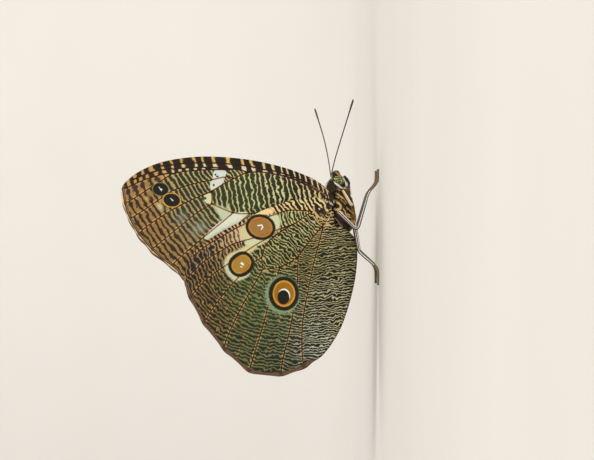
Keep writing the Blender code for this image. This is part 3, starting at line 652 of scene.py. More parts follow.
# Strokes near the wing roots: colour, softness, points, half width
FOREWING_STROKES = (
    ((206, 162, 86), 0.06, ((4.95, 15.3), (4.5, 14.4), (3.9, 13.15), (2.95, 12.1), (2.05, 11.1),
                            (1.5, 10.6)), 0.12),
    ((66, 37, 20), 0.06, ((3.5, 15.8), (2.7, 14.4), (1.7, 13.0), (0.8, 11.6), (0.2, 10.3)), 0.17),
    ((148, 108, 52), 0.06, ((3.3, 14.8), (2.6, 13.7), (1.9, 12.7), (1.3, 11.7)), 0.11),
    ((192, 166, 92), 0.06, ((1.1, 13.6), (0.65, 13.37), (0.03, 12.8), (-0.08, 12.36), (0.09, 11.85),
                            (-0.19, 11.45)), 0.14),
    ((198, 188, 170), 0.08, ((-0.35, 11.55), (-0.5, 11.2), (-0.65, 10.9)), 0.16),
    ((212, 148, 70), 0.06, ((-0.68, 10.6), (-0.75, 10.48)), 0.13),
    ((186, 172, 156), 0.08, ((-0.85, 10.3), (-1.15, 10.05), (-1.35, 9.85)), 0.16),
    ((44, 34, 25), 0.1, ((1.9, 10.5), (1.0, 9.95), (0.0, 10.0), (-0.5, 10.1)), 0.34),
    ((40, 30, 22), 0.1, ((0.3, 11.2), (-0.1, 10.7), (-0.2, 10.4)), 0.25),
    ((40, 30, 22), 0.1, ((-1.1, 11.1), (-1.3, 10.6), (-1.6, 10.2)), 0.22),
)
HINDWING_STROKES = (
    ((224, 218, 158), 0.05, ((-0.53, 13.3), (-1.1, 12.8), (-1.6, 12.24), (-2.0, 11.8)), 0.11),
    ((24, 20, 16), 0.05, ((-1.5, 12.8), (-1.9, 12.35), (-2.25, 11.95)), 0.1),
    ((196, 156, 86), 0.06, ((-1.6, 13.65), (-2.4, 13.43), (-2.96, 13.1), (-3.46, 12.64),
                            (-3.9, 12.07), (-4.08, 11.5), (-3.86, 11.2)), 0.16),
    ((198, 204, 178), 0.05, ((-2.05, 12.45), (-2.3, 12.2)), 0.15),
    ((206, 162, 74), 0.06, ((-1.7, 11.4), (-2.28, 10.95), (-2.8, 10.66)), 0.14),
    ((212, 142, 52), 0.06, ((-3.6, 11.25), (-3.75, 11.15)), 0.12),
    ((110, 94, 52), 0.1, ((-3.1, 12.1), (-3.35, 11.6)), 0.25),
    ((204, 176, 158), 0.06, ((-4.1, 11.0), (-3.9, 10.55), (-3.7, 10.3)), 0.12),
    ((188, 126, 60), 0.08, ((-3.1, 10.1), (-3.4, 9.9)), 0.18),
    ((204, 150, 92), 0.1, ((-4.8, 10.95), (-5.0, 10.6)), 0.24),
    ((196, 164, 98), 0.06, ((-3.2, 13.9), (-3.8, 13.4), (-4.3, 12.8), (-4.76, 12.3),
                            (-4.65, 11.5)), 0.1),
    ((36, 28, 20), 0.1, ((-2.7, 11.9), (-3.0, 11.3), (-3.2, 10.7)), 0.2),
)
VEIN_HALF = 0.125                     # half the width of a drawn vein
VEINLESS, VEINLESS_REACH, VEINLESS_EDGE = (-2.6, 11.4), 1.7, 0.8     # no veins drawn there
PATCH_STEP, STROKE_STEP, FOLD_STEP = 0.4, 0.25, 0.8
OUTSIDE, SHARP = -9.0, 0.1            # depth and softness where there is no mark
FAINT = 1e-5                          # the paint's weight far from all its places
FOLD_AHEAD = 0.3                      # how far along a fold its direction is read
CELL_SHIFT = 0.37                     # periods by which each cell's stripes are set off
VEIN_STRETCH = 15.0                   # how far a vein is drawn out past its ends
PERIOD_MARKS, PERIOD_FADE = (-16, 60, 300), 20.0    # lengths where the period is read
# Dark blots in the patches: place, radii
FOREWING_BLOTS = (((0.35, 38.5), (0.34, 0.62)), ((5.6, 35.9), (0.26, 0.22)),
                  ((5.2, 35.5), (0.2, 0.3)), ((3.3, 36.3), (0.3, 0.22)))


def signed_depth(points, polygon):
    """How deep points lie in a polygon, negative outside."""
    ring = np.array([*polygon, polygon[0]], float)
    depth = distance_to_lines(points, [ring])
    return np.where(inside(points, ring[:-1]), depth, -depth)


def depth_in(points, mark):
    """How deep points lie in a patch's outline, or in a stroke of some half width."""
    if len(mark) == 3:
        return signed_depth(points, smooth_curve(mark[2], PATCH_STEP, closed=True))
    return mark[3] - nearest_on(points, smooth_curve(mark[2], STROKE_STEP))[0]


def patch_fields(corners, middles, marks):
    """Each corner's depth in its face's nearest mark, the edge's softness, and the colour."""
    depth = np.full(len(corners), OUTSIDE)
    soft = np.full(len(corners), SHARP)
    colour = np.zeros((len(corners), 3))
    best = np.full(len(middles), -np.inf)
    for mark in marks:
        reach = depth_in(middles, mark) / mark[1]
        closer = reach > best
        best[closer] = reach[closer]
        mine = np.repeat(closer, 3)
        depth[mine] = depth_in(corners[mine], mark)
        soft[mine] = mark[1]
        colour[mine] = rgb(*mark[0])
    return depth, soft, colour


def fold_distance(corners, middles, folds):
    """Each corner's signed distance off its face's nearest fold."""
    lines = [smooth_curve(fold, FOLD_STEP) for fold in folds]
    gaps = np.array([nearest_on(middles, line)[0] for line in lines])
    owner = np.repeat(np.argmin(gaps, axis=0), 3)
    off = np.zeros(len(corners))
    for k, line in enumerate(lines):
        mine = owner == k
        points = corners[mine]
        gap, run = nearest_on(points, line)
        back, here, ahead = (
            resampled(line, run_along(line), run + by) for by in (-FOLD_AHEAD, 0, FOLD_AHEAD)
        )
        step = ahead - back
        away = points - here
        sign = np.sign(step[:, 0] * away[:, 1] - step[:, 1] * away[:, 0])
        off[mine] = gap * np.where(sign == 0, 1, sign)
    return off


def stretched(line):
    """A line with both its ends drawn out straight."""
    first = line[0] - line[1]
    last = line[-1] - line[-2]
    return np.vstack([
        line[0] + first / np.linalg.norm(first) * VEIN_STRETCH, line,
        line[-1] + last / np.linalg.norm(last) * VEIN_STRETCH,
    ])


def stripe_phase(cell, lines, points):
    """Where points lie in a cell's stripes, in periods."""
    if "across" in cell:
        veins = [stretched(lines[name])[::-1] for name in cell["across"]]
        one, two = (nearest_on(points, vein) for vein in veins)
        seed = np.array([cell["seed"]])
        start = [nearest_on(seed, vein)[1][0] for vein in veins]
        share = one[0] / (one[0] + two[0] + 1e-6)
        run = (one[1] - start[0]) * (1 - share) + (two[1] - start[1]) * share
        run += sum(start) / 2 - VEIN_STRETCH
        outer, inner = np.broadcast_to(cell["period"], 2)
        marks = np.linspace(*PERIOD_MARKS)
        periods = outer + (inner - outer) * np.clip(marks / PERIOD_FADE, 0, 1)
        return np.interp(run, marks, np.cumsum(1 / periods) * (marks[1] - marks[0]))
    lean = math.radians(cell["lean"])
    along = points[:, 1] * math.cos(lean) - points[:, 0] * math.sin(lean)
    if "bars" not in cell:
        return along / cell["period"]
    middle_x, middle_z = np.array(COSTAL_MIDDLE).T
    off = points[:, 0] - np.interp(points[:, 1], middle_z, middle_x)
    bars = cell["bars"]
    return np.interp(points[:, 1] - off * math.tan(lean), bars, np.arange(len(bars)))


def painted(points, paint):
    """Ground colour, stripe colour, share and waviness, blended from the paint's places."""
    weights = []
    values = []
    for spot, reach, ground, stripe, share, waviness in paint:
        gap = np.linalg.norm(points - np.array(spot), axis=1)
        weights.append(bell(gap, 0, reach) + FAINT / (1 + gap ** 2))
        values.append([*rgb(*ground), *rgb(*stripe), share, waviness])
    weights = np.array(weights)
    return weights.T @ np.array(values) / weights.sum(axis=0)[:, None]


def add_field(mesh, name, values, kind="FLOAT_VECTOR", domain="POINT"):
    """A named attribute; one column too few is filled up with ones."""
    width = 4 if kind == "FLOAT_COLOR" else 3
    values = np.asarray(values, np.float32)
    if values.shape[1] < width:
        values = np.column_stack([values, np.ones(len(values), np.float32)])
    attribute = mesh.attributes.new(name, kind, domain)
    attribute.data.foreach_set("color" if width == 4 else "vector", values.ravel())


def corner_fields(points, faces, labels, lines, cells, paint, folds, patches, strokes):
    """The fields that the shader reads at each triangle's corners."""
    faces = np.array(faces)
    middles = points[faces].mean(axis=1)
    owner = {}
    for k, cell in enumerate(cells):
        nearest = int(np.argmin(np.linalg.norm(middles - np.array(cell["seed"]), axis=1)))
        owner[labels[nearest]] = k
    owned = np.array([owner.get(label, -1) for label in labels])
    known = np.nonzero(owned >= 0)[0]
    for k in np.nonzero(owned < 0)[0]:
        gaps = np.linalg.norm(middles[known] - middles[k], axis=1)
        owned[k] = owned[known[int(np.argmin(gaps))]]
    corners = points[faces].reshape(-1, 2)
    colours = painted(corners, paint)
    phase = np.zeros(len(corners))
    vein = np.full(len(corners), VEIN_HALF)
    for k, cell in enumerate(cells):
        mine = np.repeat(owned == k, 3)
        if not mine.any():
            continue
        phase[mine] = stripe_phase(cell, lines, corners[mine])
        if "bars" not in cell:
            phase[mine] += CELL_SHIFT * k
        vein[mine] = cell.get("vein", VEIN_HALF)
        if cell["paint"]:
            colours[mine] = painted(corners[mine], cell["paint"])
    off = fold_distance(corners, middles, folds)
    depth, soft, pale = patch_fields(corners, middles, patches)
    stroke_depth, stroke_soft, stroke_tone = patch_fields(corners, middles, strokes)
    return {
        "stripes": (np.column_stack([phase, colours[:, 6], colours[:, 7]]), "FLOAT_VECTOR"),
        "folds": (np.column_stack([off, vein]), "FLOAT_VECTOR"),
        "patch": (np.column_stack([depth, soft, stroke_depth / stroke_soft]), "FLOAT_VECTOR"),
        "ground": (colours[:, :3], "FLOAT_COLOR"),
        "stripe": (colours[:, 3:6], "FLOAT_COLOR"),
        "pale": (pale, "FLOAT_COLOR"),
        "drawn": (stroke_tone, "FLOAT_COLOR"),
    }


class Wing:
    """The flat layout of one kind of wing, shared by both sides."""

    def __init__(self, outline, veins, margin, *looks):
        self.points, self.faces, labels, lines, ring = wing_net(outline, veins, margin)
        self.vein = distance_to_lines(self.points, list(lines.values()))
        root = np.linalg.norm(self.points - np.array(VEINLESS), axis=1)
        bare = 1 - smoothstep((root - VEINLESS_REACH) / VEINLESS_EDGE)
        self.vein += RIDGES_OFF * VEIN_HALF * bare
        self.rim = distance_to_lines(self.points, [ring])
        outer = smooth_curve(outline[margin[0]:margin[1]], RIM_STEP)
        self.margin = distance_to_lines(self.points, [outer])
        to_end = np.linalg.norm(self.points - outer[-1], axis=1)
        self.margin += MARGIN_FADE * (1 - smoothstep(to_end / SCALLOP_FADE))
        self.fields = corner_fields(self.points, self.faces, labels, lines, *looks)
        self.hind = outline is HINDWING_OUTLINE

    def build(self, name, side, turn, materials):
        flat = turned(self.points, turn)
        ridge = RIDGE_HEIGHT * np.clip(1 - self.vein / RIDGE_HALF_WIDTH, 0, 1)
        if self.hind:
            level = hindwing_level(flat)
            root = np.linalg.norm(flat - np.array(HINDWING_ROOT), axis=1) / HINDWING_ROOT_REACH
            sunk = (HINDWING_LEVEL - FOREWING_LEVEL) * (1 - smoothstep(root))
        else:
            level = np.full(len(flat), FOREWING_LEVEL)
            sunk = 0.0
        thinned = RIM_THINNING * (1 - smoothstep(self.rim / RIM_WIDTH))
        outer = wing_surface(flat, level + FILM_HIGH - thinned + ridge, side)
        inner = wing_surface(flat, level + FILM_LOW + thinned - sunk, side)
        count = len(flat)
        faces = list(self.faces)
        faces += [(c + count, b + count, a + count) for a, b, c in self.faces]
        for found in meeting(self.faces).values():
            if len(found) == 1:
                a, b = found[0][1]
                faces += [(b, a, a + count), (b, a + count, b + count)]
        faces = np.array(faces)
        if side == RIGHT:
            faces = faces[:, ::-1]
        mesh = bpy.data.meshes.new(name)
        mesh.from_pydata(in_metres(np.vstack([outer, inner])).tolist(), [], faces.tolist())
        marked = np.column_stack([self.points, np.zeros(count)])
        add_field(mesh, "flat", np.vstack([marked, marked]))
        edges = np.column_stack([self.vein, self.margin])
        add_field(mesh, "edges", np.vstack([edges, edges]))
        order = np.arange(3 * len(self.faces)).reshape(-1, 3)
        order = (order[:, ::-1] if side == RIGHT else order).ravel()
        for field, (values, kind) in self.fields.items():
            full = np.tile(values.mean(axis=0), (3 * len(faces), 1))
            full[:len(order)] = values[order]
            add_field(mesh, field, full, kind, "CORNER")
        slots = np.zeros(len(faces), np.int32)
        slots[len(self.faces):2 * len(self.faces)] = 1
        mesh.polygons.foreach_set("material_index", slots)
        mesh.shade_smooth()
        return new_object(name, mesh, *materials)


# Materials
class Shader:
    """A node material put together in code."""

    def __init__(self, name, roughness=0.6):
        self.material = bpy.data.materials.new(name)
        self.material.use_nodes = True
        self.tree = self.material.node_tree
        self.surface = self.tree.nodes["Principled BSDF"]
        self.surface.inputs["Roughness"].default_value = roughness

    def node(self, kind, **settings):
        made = self.tree.nodes.new(kind)
        for key, value in settings.items():
            setattr(made, key, value)
        return made

    def put(self, value, socket):
        if isinstance(value, bpy.types.NodeSocket):
            self.tree.links.new(value, socket)
        else:
            socket.default_value = value

    def math(self, operation, *values):
        made = self.node("ShaderNodeMath", operation=operation)
        for value, socket in zip(values, made.inputs):
            self.put(value, socket)
        return made.outputs[0]

    def vector(self, operation, *values):
        made = self.node("ShaderNodeVectorMath", operation=operation)
        for value, socket in zip(values, made.inputs):
            self.put(value, socket)
        return made.outputs["Value" if operation in ("LENGTH", "DOT_PRODUCT") else "Vector"]

    def times(self, one, two):
        return self.math("MULTIPLY", one, two)

    def line(self, value, slope, start):
        """`value` times `slope`, plus `start`."""
        return self.math("MULTIPLY_ADD", value, slope, start)

    def scaled(self, vector, by):
        made = self.vector("SCALE", vector)
        self.put(by, made.node.inputs["Scale"])
        return made

    def mix(self, share, one, two):
        made = self.node("ShaderNodeMix", data_type="RGBA")
        self.put(share, made.inputs[0])
        self.put(one, made.inputs[6])
        self.put(two, made.inputs[7])
        return made.outputs[2]

    def step(self, value, low, high):
        """0 below `low` and 1 above `high`, smooth between; reversed where low > high."""
        made = self.node("ShaderNodeMapRange", interpolation_type="SMOOTHSTEP")
        self.put(value, made.inputs["Value"])
        start, end = (1.0, 0.0) if low > high else (0.0, 1.0)
        for socket, number in (("From Min", min(low, high)), ("From Max", max(low, high)),
                               ("To Min", start), ("To Max", end)):
            made.inputs[socket].default_value = number
        return made.outputs["Result"]

    def attribute(self, name, output="Vector"):
        return self.node("ShaderNodeAttribute", attribute_name=name).outputs[output]

    def numbers(self, name):
        """The three numbers of an attribute."""
        return self.parts(self.attribute(name))

    def parts(self, vector):
        made = self.node("ShaderNodeSeparateXYZ")
        self.put(vector, made.inputs[0])
        return made.outputs

    def noise(self, place, scale, detail=1.0, rough=0.5):
        made = self.node("ShaderNodeTexNoise")
        self.put(place, made.inputs["Vector"])
        made.inputs["Scale"].default_value = scale
        made.inputs["Detail"].default_value = detail
        made.inputs["Roughness"].default_value = rough
        return made.outputs[0]

    def sway(self, place, scale, detail=1.0):
        """Noise about zero."""
        return self.math("SUBTRACT", self.noise(place, scale, detail), 0.5)

    def bump(self, height, strength, distance):
        made = self.node("ShaderNodeBump")
        made.inputs["Strength"].default_value = strength
        made.inputs["Distance"].default_value = distance
        self.put(height, made.inputs["Height"])
        self.put(made.outputs[0], self.surface.inputs["Normal"])

    def colour(self, value):
        self.put(value, self.surface.inputs["Base Color"])

    def finish(self, settings):
        """Numbers that are the same all over, on the shader's own sockets."""
        for socket, number in settings.items():
            self.surface.inputs[socket].default_value = number


def tone(*values):
    return (*rgb(*values), 1.0)


# Tones
GAP_BROWN, NEAR_VEIN, BLOT_GREEN = tone(26, 24, 17), tone(226, 176, 106), tone(62, 74, 52)
FOLD_DARK, FOLD_GOLD, DISC_VEIN = tone(62, 44, 26), tone(184, 128, 56), tone(176, 84, 30)
VEIN_GLOW, VEIN_BROWN, VEIN_RUST = tone(170, 112, 52), tone(34, 20, 12), tone(122, 74, 34)
MARGIN_BROWN = tone(64, 44, 30)
BLACK, PUPIL_BLACK, NIGHT_GREEN = tone(26, 27, 20), tone(24, 24, 18), tone(62, 82, 52)
WHITE = tone(236, 234, 230)
UPPER_DARK, UPPER_BROWN, UPPER_BAND = tone(34, 22, 15), tone(70, 46, 28), tone(216, 200, 160)
UPPER_VEIN, UPPER_MARGIN, UPPER_GRAIN = tone(32, 20, 14), tone(120, 90, 62), tone(24, 16, 11)
COAT_DARK, COAT_BROWN, COAT_PURPLE = tone(20, 16, 12), tone(48, 38, 26), tone(78, 58, 60)
COAT_BELLY, COAT_SHADOW, COAT_TAWNY = tone(150, 128, 92), tone(24, 18, 13), tone(170, 126, 68)
LINE_GOLD, LINE_PALE, LINE_WHITE = tone(234, 188, 92), tone(248, 220, 142), tone(255, 250, 236)
LINE_TAWNY, LINE_ORANGE, LINE_PURPLE = tone(200, 142, 66), tone(252, 178, 36), tone(84, 56, 64)
EYE_DARK, EYE_GREEN, EYE_OLIVE = tone(52, 66, 16), tone(98, 118, 36), tone(118, 124, 22)
EYE_LIT, EYE_NET = tone(206, 226, 128), tone(18, 22, 11)
LEG_OLIVE, TARSUS_BROWN, HORN_DARK = tone(108, 102, 80), tone(112, 88, 60), tone(22, 15, 11)
PAPER_DARK, PAPER_LIGHT = tone(214, 210, 202), tone(222, 218, 211)

# Scales of the noises that bend and break up the wings' markings
BROAD, SWELL, WAVY, BEADS, WOBBLE, MOTTLE, FINE, GRAIN = 0.42, 0.8, 1.15, 1.9, 2.6, 4.2, 4.5, 26.0

# Eyespots: centre (x, z), radii of the black and of the disc, tilt, colours, pupil, halo
FOREWING_SPOTS = (
    {"centre": (2.37, 48.05), "black": (1.40, 1.72), "tilt": 10, "ring": (0.11, (150, 130, 76)),
     "streaks": (((2.85, 48.4), (2.0, 47.85), 0.06), ((2.45, 48.1), (2.3, 47.75), 0.1))},
    {"centre": (-0.04, 45.57), "black": (1.43, 1.84), "tilt": 10, "ring": (0.2, (208, 152, 62)),
     "streaks": (((0.38, 45.85), (-0.2, 45.3), 0.06), ((0.0, 45.5), (-0.1, 45.35), 0.1))},
)
HINDWING_SPOTS = (
    {"centre": (-6.02, 25.93), "black": (2.81, 3.31), "disc": (2.23, 2.71), "tilt": 14,
     "middle": (152, 114, 56), "edge": (186, 122, 44),
     "streaks": (((-5.68, 26.5), (-5.53, 25.7), 0.13), ((-5.53, 25.7), (-6.0, 25.45), 0.14),
                 ((-6.0, 25.45), (-6.5, 25.75), 0.12))},
    {"centre": (-14.19, 30.17), "black": (2.6, 2.9), "disc": (1.86, 2.28), "tilt": -40,
     "power": 2.25, "middle": (164, 126, 46), "edge": (186, 138, 42),
     "streaks": (((-14.0, 30.1), (-14.25, 29.8), 0.24), ((-14.75, 30.3), (-14.8, 30.1), 0.1))},
    {"centre": (-20.70, 20.77), "black": (3.78, 3.38), "disc": (2.95, 2.5), "tilt": 0,
     "middle": (150, 104, 12), "edge": (210, 146, 42),
     "halo": (-0.5, 0.86, 1.32, (148, 172, 130)),
     "pupil": ((-21.5, 20.9), (1.62, 1.34)), "streaks": ()},
)
HALO_LEAST = 1.06                       # a halo's reach on the side away from it
SPOT_WOBBLE, BAND_SOFT = 0.06, 0.05     # unevenness of the eyespots, half width of an edge
MOON_SHIFT, MOON_SIDE = (0.26, -0.12), (0.86, -0.5)    # the bright crescent beside a pupil
SCALE_GRAIN, BODY_GRAIN, LEG_GRAIN = 0.00004, 0.00008, 0.00006     # bump depths in metres
EYE_GRAIN, HORN_GRAIN = 0.00003, 0.00005


def oval(shader, flat, centre, radii, tilt=0.0, power=2.0):
    """A place's distance from the centre of a tilted oval, 1 on the oval's line.

    A power above 2 squares the oval off.
    """
    away = shader.vector("SUBTRACT", flat, (*centre, 0.0))
    angle = math.radians(tilt)
    along = shader.vector("DOT_PRODUCT", away,
                          (math.cos(angle) / radii[0], -math.sin(angle) / radii[0], 0.0))
    across = shader.vector("DOT_PRODUCT", away,
                           (math.sin(angle) / radii[1], math.cos(angle) / radii[1], 0.0))
    raised = [shader.math("POWER", shader.math("ABSOLUTE", value), power)
              for value in (along, across)]
    return shader.math("POWER", shader.math("ADD", *raised), 1 / power)


def facing(shader, flat, centre, direction):
    """1 where a place lies in a direction from the centre, -1 behind it."""
    away = shader.vector("SUBTRACT", flat, (*centre, 0.0))
    return shader.vector("DOT_PRODUCT", shader.vector("NORMALIZE", away), (*direction, 0.0))


def stroke(shader, flat, a, b):
    """The distance to a short straight line."""
    a, b = np.array(a), np.array(b)
    length = float(np.linalg.norm(b - a))
    heading = ((b - a) / length).tolist()
    away = shader.vector("SUBTRACT", flat, (*a.tolist(), 0.0))
    along = shader.vector("DOT_PRODUCT", away, (*heading, 0.0))
    along = shader.math("MINIMUM", shader.math("MAXIMUM", along, 0.0), length)
    foot = shader.scaled((*heading, 0.0), along)
    return shader.vector("LENGTH", shader.vector("SUBTRACT", away, foot))


def add_spot(shader, colour, spot, flat, wobble, vein_line):
    """An eyespot drawn over `colour`: halo, ring, black, disc, pupil and glints."""
    centre, black = spot["centre"], spot["black"]
    power = spot.get("power", 2.0)
    reach = oval(shader, flat, centre, black, spot["tilt"], power)
    reach = shader.line(wobble, SPOT_WOBBLE, reach)
    if "halo" in spot:
        x, z, furthest, halo_tone = spot["halo"]
        width = shader.line(facing(shader, flat, centre, (x, z)),
                            (furthest - HALO_LEAST) / 2, (furthest + HALO_LEAST) / 2)
        ragged = shader.line(wobble, 0.4, reach)
        shown = shader.step(shader.math("SUBTRACT", width, ragged), 0.0, 0.12)
        colour = shader.mix(shader.times(shown, 0.6), colour, tone(*halo_tone))
    if "ring" in spot:
        width, ring_tone = spot["ring"]
        outer = 1 + width / black[0]
        in_ring = shader.step(reach, outer + BAND_SOFT, outer - BAND_SOFT)
        colour = shader.mix(in_ring, colour, tone(*ring_tone))
    dark = shader.mix(shader.step(reach, 1.04, 0.93), NIGHT_GREEN, BLACK)
    colour = shader.mix(shader.step(reach, 1.05, 0.98), colour, dark)
    if "disc" in spot:
        disc = oval(shader, flat, centre, spot["disc"], spot["tilt"], power)
        disc = shader.line(wobble, SPOT_WOBBLE, disc)
        face = shader.mix(shader.step(disc, 0.80, 0.93), tone(*spot["middle"]),
                          tone(*spot["edge"]))
        face = shader.mix(shader.times(vein_line, 0.8), face, DISC_VEIN)
        colour = shader.mix(shader.step(disc, 1.02, 0.96), colour, face)
    if "pupil" in spot:
        middle, radii = spot["pupil"]
        moon = oval(shader, flat, np.add(middle, MOON_SHIFT).tolist(), radii)
        lit = shader.step(facing(shader, flat, middle, MOON_SIDE), 0.25, 0.5)
        glint = shader.times(shader.step(moon, 1.06, 0.98), lit)
        colour = shader.mix(glint, colour, WHITE)
        pupil = oval(shader, flat, middle, radii)
        colour = shader.mix(shader.step(pupil, 1.03, 0.93), colour, PUPIL_BLACK)
    for a, b, half in spot["streaks"]:
        gap = stroke(shader, flat, a, b)
        colour = shader.mix(shader.step(gap, half + 0.06, half - 0.05), colour, WHITE)
    return colour


def wing_stripes(shader, flat, near_vein):
    """Wavy stripes between the veins: how far a place lies in one, and their colour."""
    phase, share, waviness = shader.numbers("stripes")
    drift = shader.line(shader.sway(flat, BROAD), 1.4, shader.times(shader.sway(flat, WAVY), 0.95))
    moved = shader.line(drift, waviness, phase)
    rough = shader.step(waviness, 0.95, 1.25)
    moved = shader.line(shader.sway(flat, FINE, 2.0), shader.line(rough, 0.22, 0.2), moved)
    wave = shader.math("COSINE", shader.times(moved, 2 * math.pi))
    wide = shader.line(near_vein, 0.07, share)
    wide = shader.line(shader.sway(flat, SWELL, 2.0), shader.line(rough, 0.35, 0.22), wide)
    edge = shader.math("COSINE", shader.times(wide, math.pi))
    over = shader.math("SUBTRACT", wave, edge)
    stripe = shader.step(over, -0.32, 0.42)
    gap = shader.step(over, -0.3, -1.4)
    dark = shader.mix(shader.times(gap, 0.45), shader.attribute("ground", "Color"), GAP_BROWN)
    warm = shader.mix(shader.times(near_vein, 0.5), shader.attribute("stripe", "Color"), NEAR_VEIN)
    return stripe, shader.mix(stripe, dark, warm)


def wing_patches(shader, colour, flat, wobble, stripe, depth, soft, blots):
    """Patches drawn over `colour`, the soft ones thin between the stripes."""
    edge_depth = shader.math("DIVIDE", shader.line(wobble, 0.35, depth), soft)
    in_patch = shader.step(edge_depth, -0.6, 0.6)
    thin = shader.times(shader.step(soft, 0.9, 1.3), shader.math("SUBTRACT", 1.0, stripe))
    veil = shader.line(thin, -0.6, 1.0)
    colour = shader.mix(shader.times(in_patch, veil), colour, shader.attribute("pale", "Color"))
    for centre, radii in blots:
        blot = shader.line(wobble, 0.5, oval(shader, flat, centre, radii))
        colour = shader.mix(shader.step(blot, 1.15, 0.85), colour, BLOT_GREEN)
    return in_patch, colour


def wing_folds(shader, colour, flat, wobble, stripe, fold, in_patch):
    """Broken orange fold lines drawn over `colour`, outside the patches."""
    off = shader.math("ABSOLUTE", shader.line(wobble, 0.3, fold))
    beads = shader.step(shader.noise(flat, BEADS), 0.4, 0.5)
    shown = shader.times(shader.math("SUBTRACT", 1.0, in_patch), beads)
    on_fold = shader.times(shader.step(off, 0.17, 0.07), shown)
    fold_tone = shader.mix(stripe, FOLD_DARK, FOLD_GOLD)
    return shader.mix(shader.times(on_fold, 0.8), colour, fold_tone)


def wing_veins(shader, colour, wobble, vein, vein_half, in_patch, outside_band):
    """Vein lines drawn over `colour`, rust-brown where they cross a pale patch."""
    vein_edge = shader.line(wobble, 0.10, vein)
    vein_line = shader.step(shader.math("SUBTRACT", vein_edge, vein_half), 0.035, -0.035)
    glow = shader.times(shader.step(vein, 0.34, 0.2), 0.14)
    colour = shader.mix(shader.times(glow, outside_band), colour, VEIN_GLOW)
    paleness = shader.vector("DOT_PRODUCT", shader.attribute("pale", "Color"), (0.3, 0.6, 0.1))
    on_pale = shader.times(in_patch, shader.step(paleness, 0.1, 0.3))
    vein_tone = shader.mix(on_pale, VEIN_BROWN, VEIN_RUST)
    return vein_line, shader.mix(vein_line, colour, vein_tone)


def wing_margin(shader, colour, wobble, vein, margin, bands):
    """Bands along the outer margin, each from the rim as far as its width, dark at the veins."""
    seam = shader.line(wobble, 0.14, margin)
    at_vein = shader.times(shader.step(vein, 0.75, 0.35), 0.7)
    for width, band in bands:
        band_tone = shader.mix(at_vein, tone(*band), MARGIN_BROWN)
        in_band = shader.step(seam, width + BAND_SOFT, width - BAND_SOFT)
        colour = shader.mix(in_band, colour, band_tone)
    return colour


def wing_shader(name, spots, blots, bands):
    """The underside: stripes, patches, folds, veins, root strokes, eyespots and margin."""
    shader = Shader(name, 0.72)
    flat = shader.attribute("flat")
    fold, vein_half = shader.numbers("folds")[:2]
    depth, soft, stroke_reach = shader.numbers("patch")
    vein, margin = shader.numbers("edges")[:2]
    wobble = shader.sway(flat, WOBBLE)
    outside_band = shader.step(vein_half, BAND_VEIN - 0.01, VEIN_HALF + 0.005)
    near_vein = shader.times(shader.step(vein, 0.5, 0.2), outside_band)

    stripe, colour = wing_stripes(shader, flat, near_vein)
    in_patch, colour = wing_patches(shader, colour, flat, wobble, stripe, depth, soft, blots)
    colour = wing_folds(shader, colour, flat, wobble, stripe, fold, in_patch)
    vein_line, colour = wing_veins(shader, colour, wobble, vein, vein_half, in_patch, outside_band)
    drawn = shader.line(wobble, 1.6, stroke_reach)
    colour = shader.mix(shader.step(drawn, -0.5, 0.5), colour, shader.attribute("drawn", "Color"))
    for spot in spots:
        colour = add_spot(shader, colour, spot, flat, wobble, vein_line)
    colour = wing_margin(shader, colour, wobble, vein, margin, bands)

    grain = shader.noise(flat, GRAIN, 2.0)
    shade = shader.line(shader.noise(flat, MOTTLE, 2.0, 0.6), 0.64, shader.line(grain, 0.4, 0.48))
    shader.colour(shader.scaled(colour, shade))
    shader.bump(shader.line(stripe, 0.35, grain), 0.35, SCALE_GRAIN)
    shader.finish({"Sheen Weight": 0.08, "Sheen Roughness": 0.4, "Specular IOR Level": 0.2})
    return shader.material


def upperside_shader(name, band):
    """The inner face: dark brown with a cream band."""
    shader = Shader(name, 0.7)
    flat = shader.attribute("flat")
    edges = shader.numbers("edges")
    ragged = shader.noise(flat, 0.9, 3.0)
    grain = shader.noise(flat, 22.0, 2.0)
    ground = shader.mix(shader.noise(flat, 0.12, 2.0), UPPER_DARK, UPPER_BROWN)
    start, end, half = band
    heading = unit(np.array([end]) - np.array(start))[0]
    away = shader.vector("SUBTRACT", flat, (*start, 0.0))
    across = shader.vector("DOT_PRODUCT", away, (-heading[1], heading[0], 0.0))
    off = shader.line(ragged, 2.4, shader.math("ABSOLUTE", across))
    pale = shader.step(off, half + 1.4, half + 0.8)
    colour = shader.mix(pale, ground, UPPER_BAND)
    colour = shader.mix(shader.step(edges[0], 0.2, 0.1), colour, UPPER_VEIN)
    colour = shader.mix(shader.step(edges[1], 0.5, 0.4), colour, UPPER_MARGIN)
    colour = shader.mix(shader.times(grain, 0.4), colour, UPPER_GRAIN)
    shader.colour(colour)
    shader.bump(grain, 0.3, SCALE_GRAIN)
    shader.finish({"Specular IOR Level": 0.3})
    return shader.material


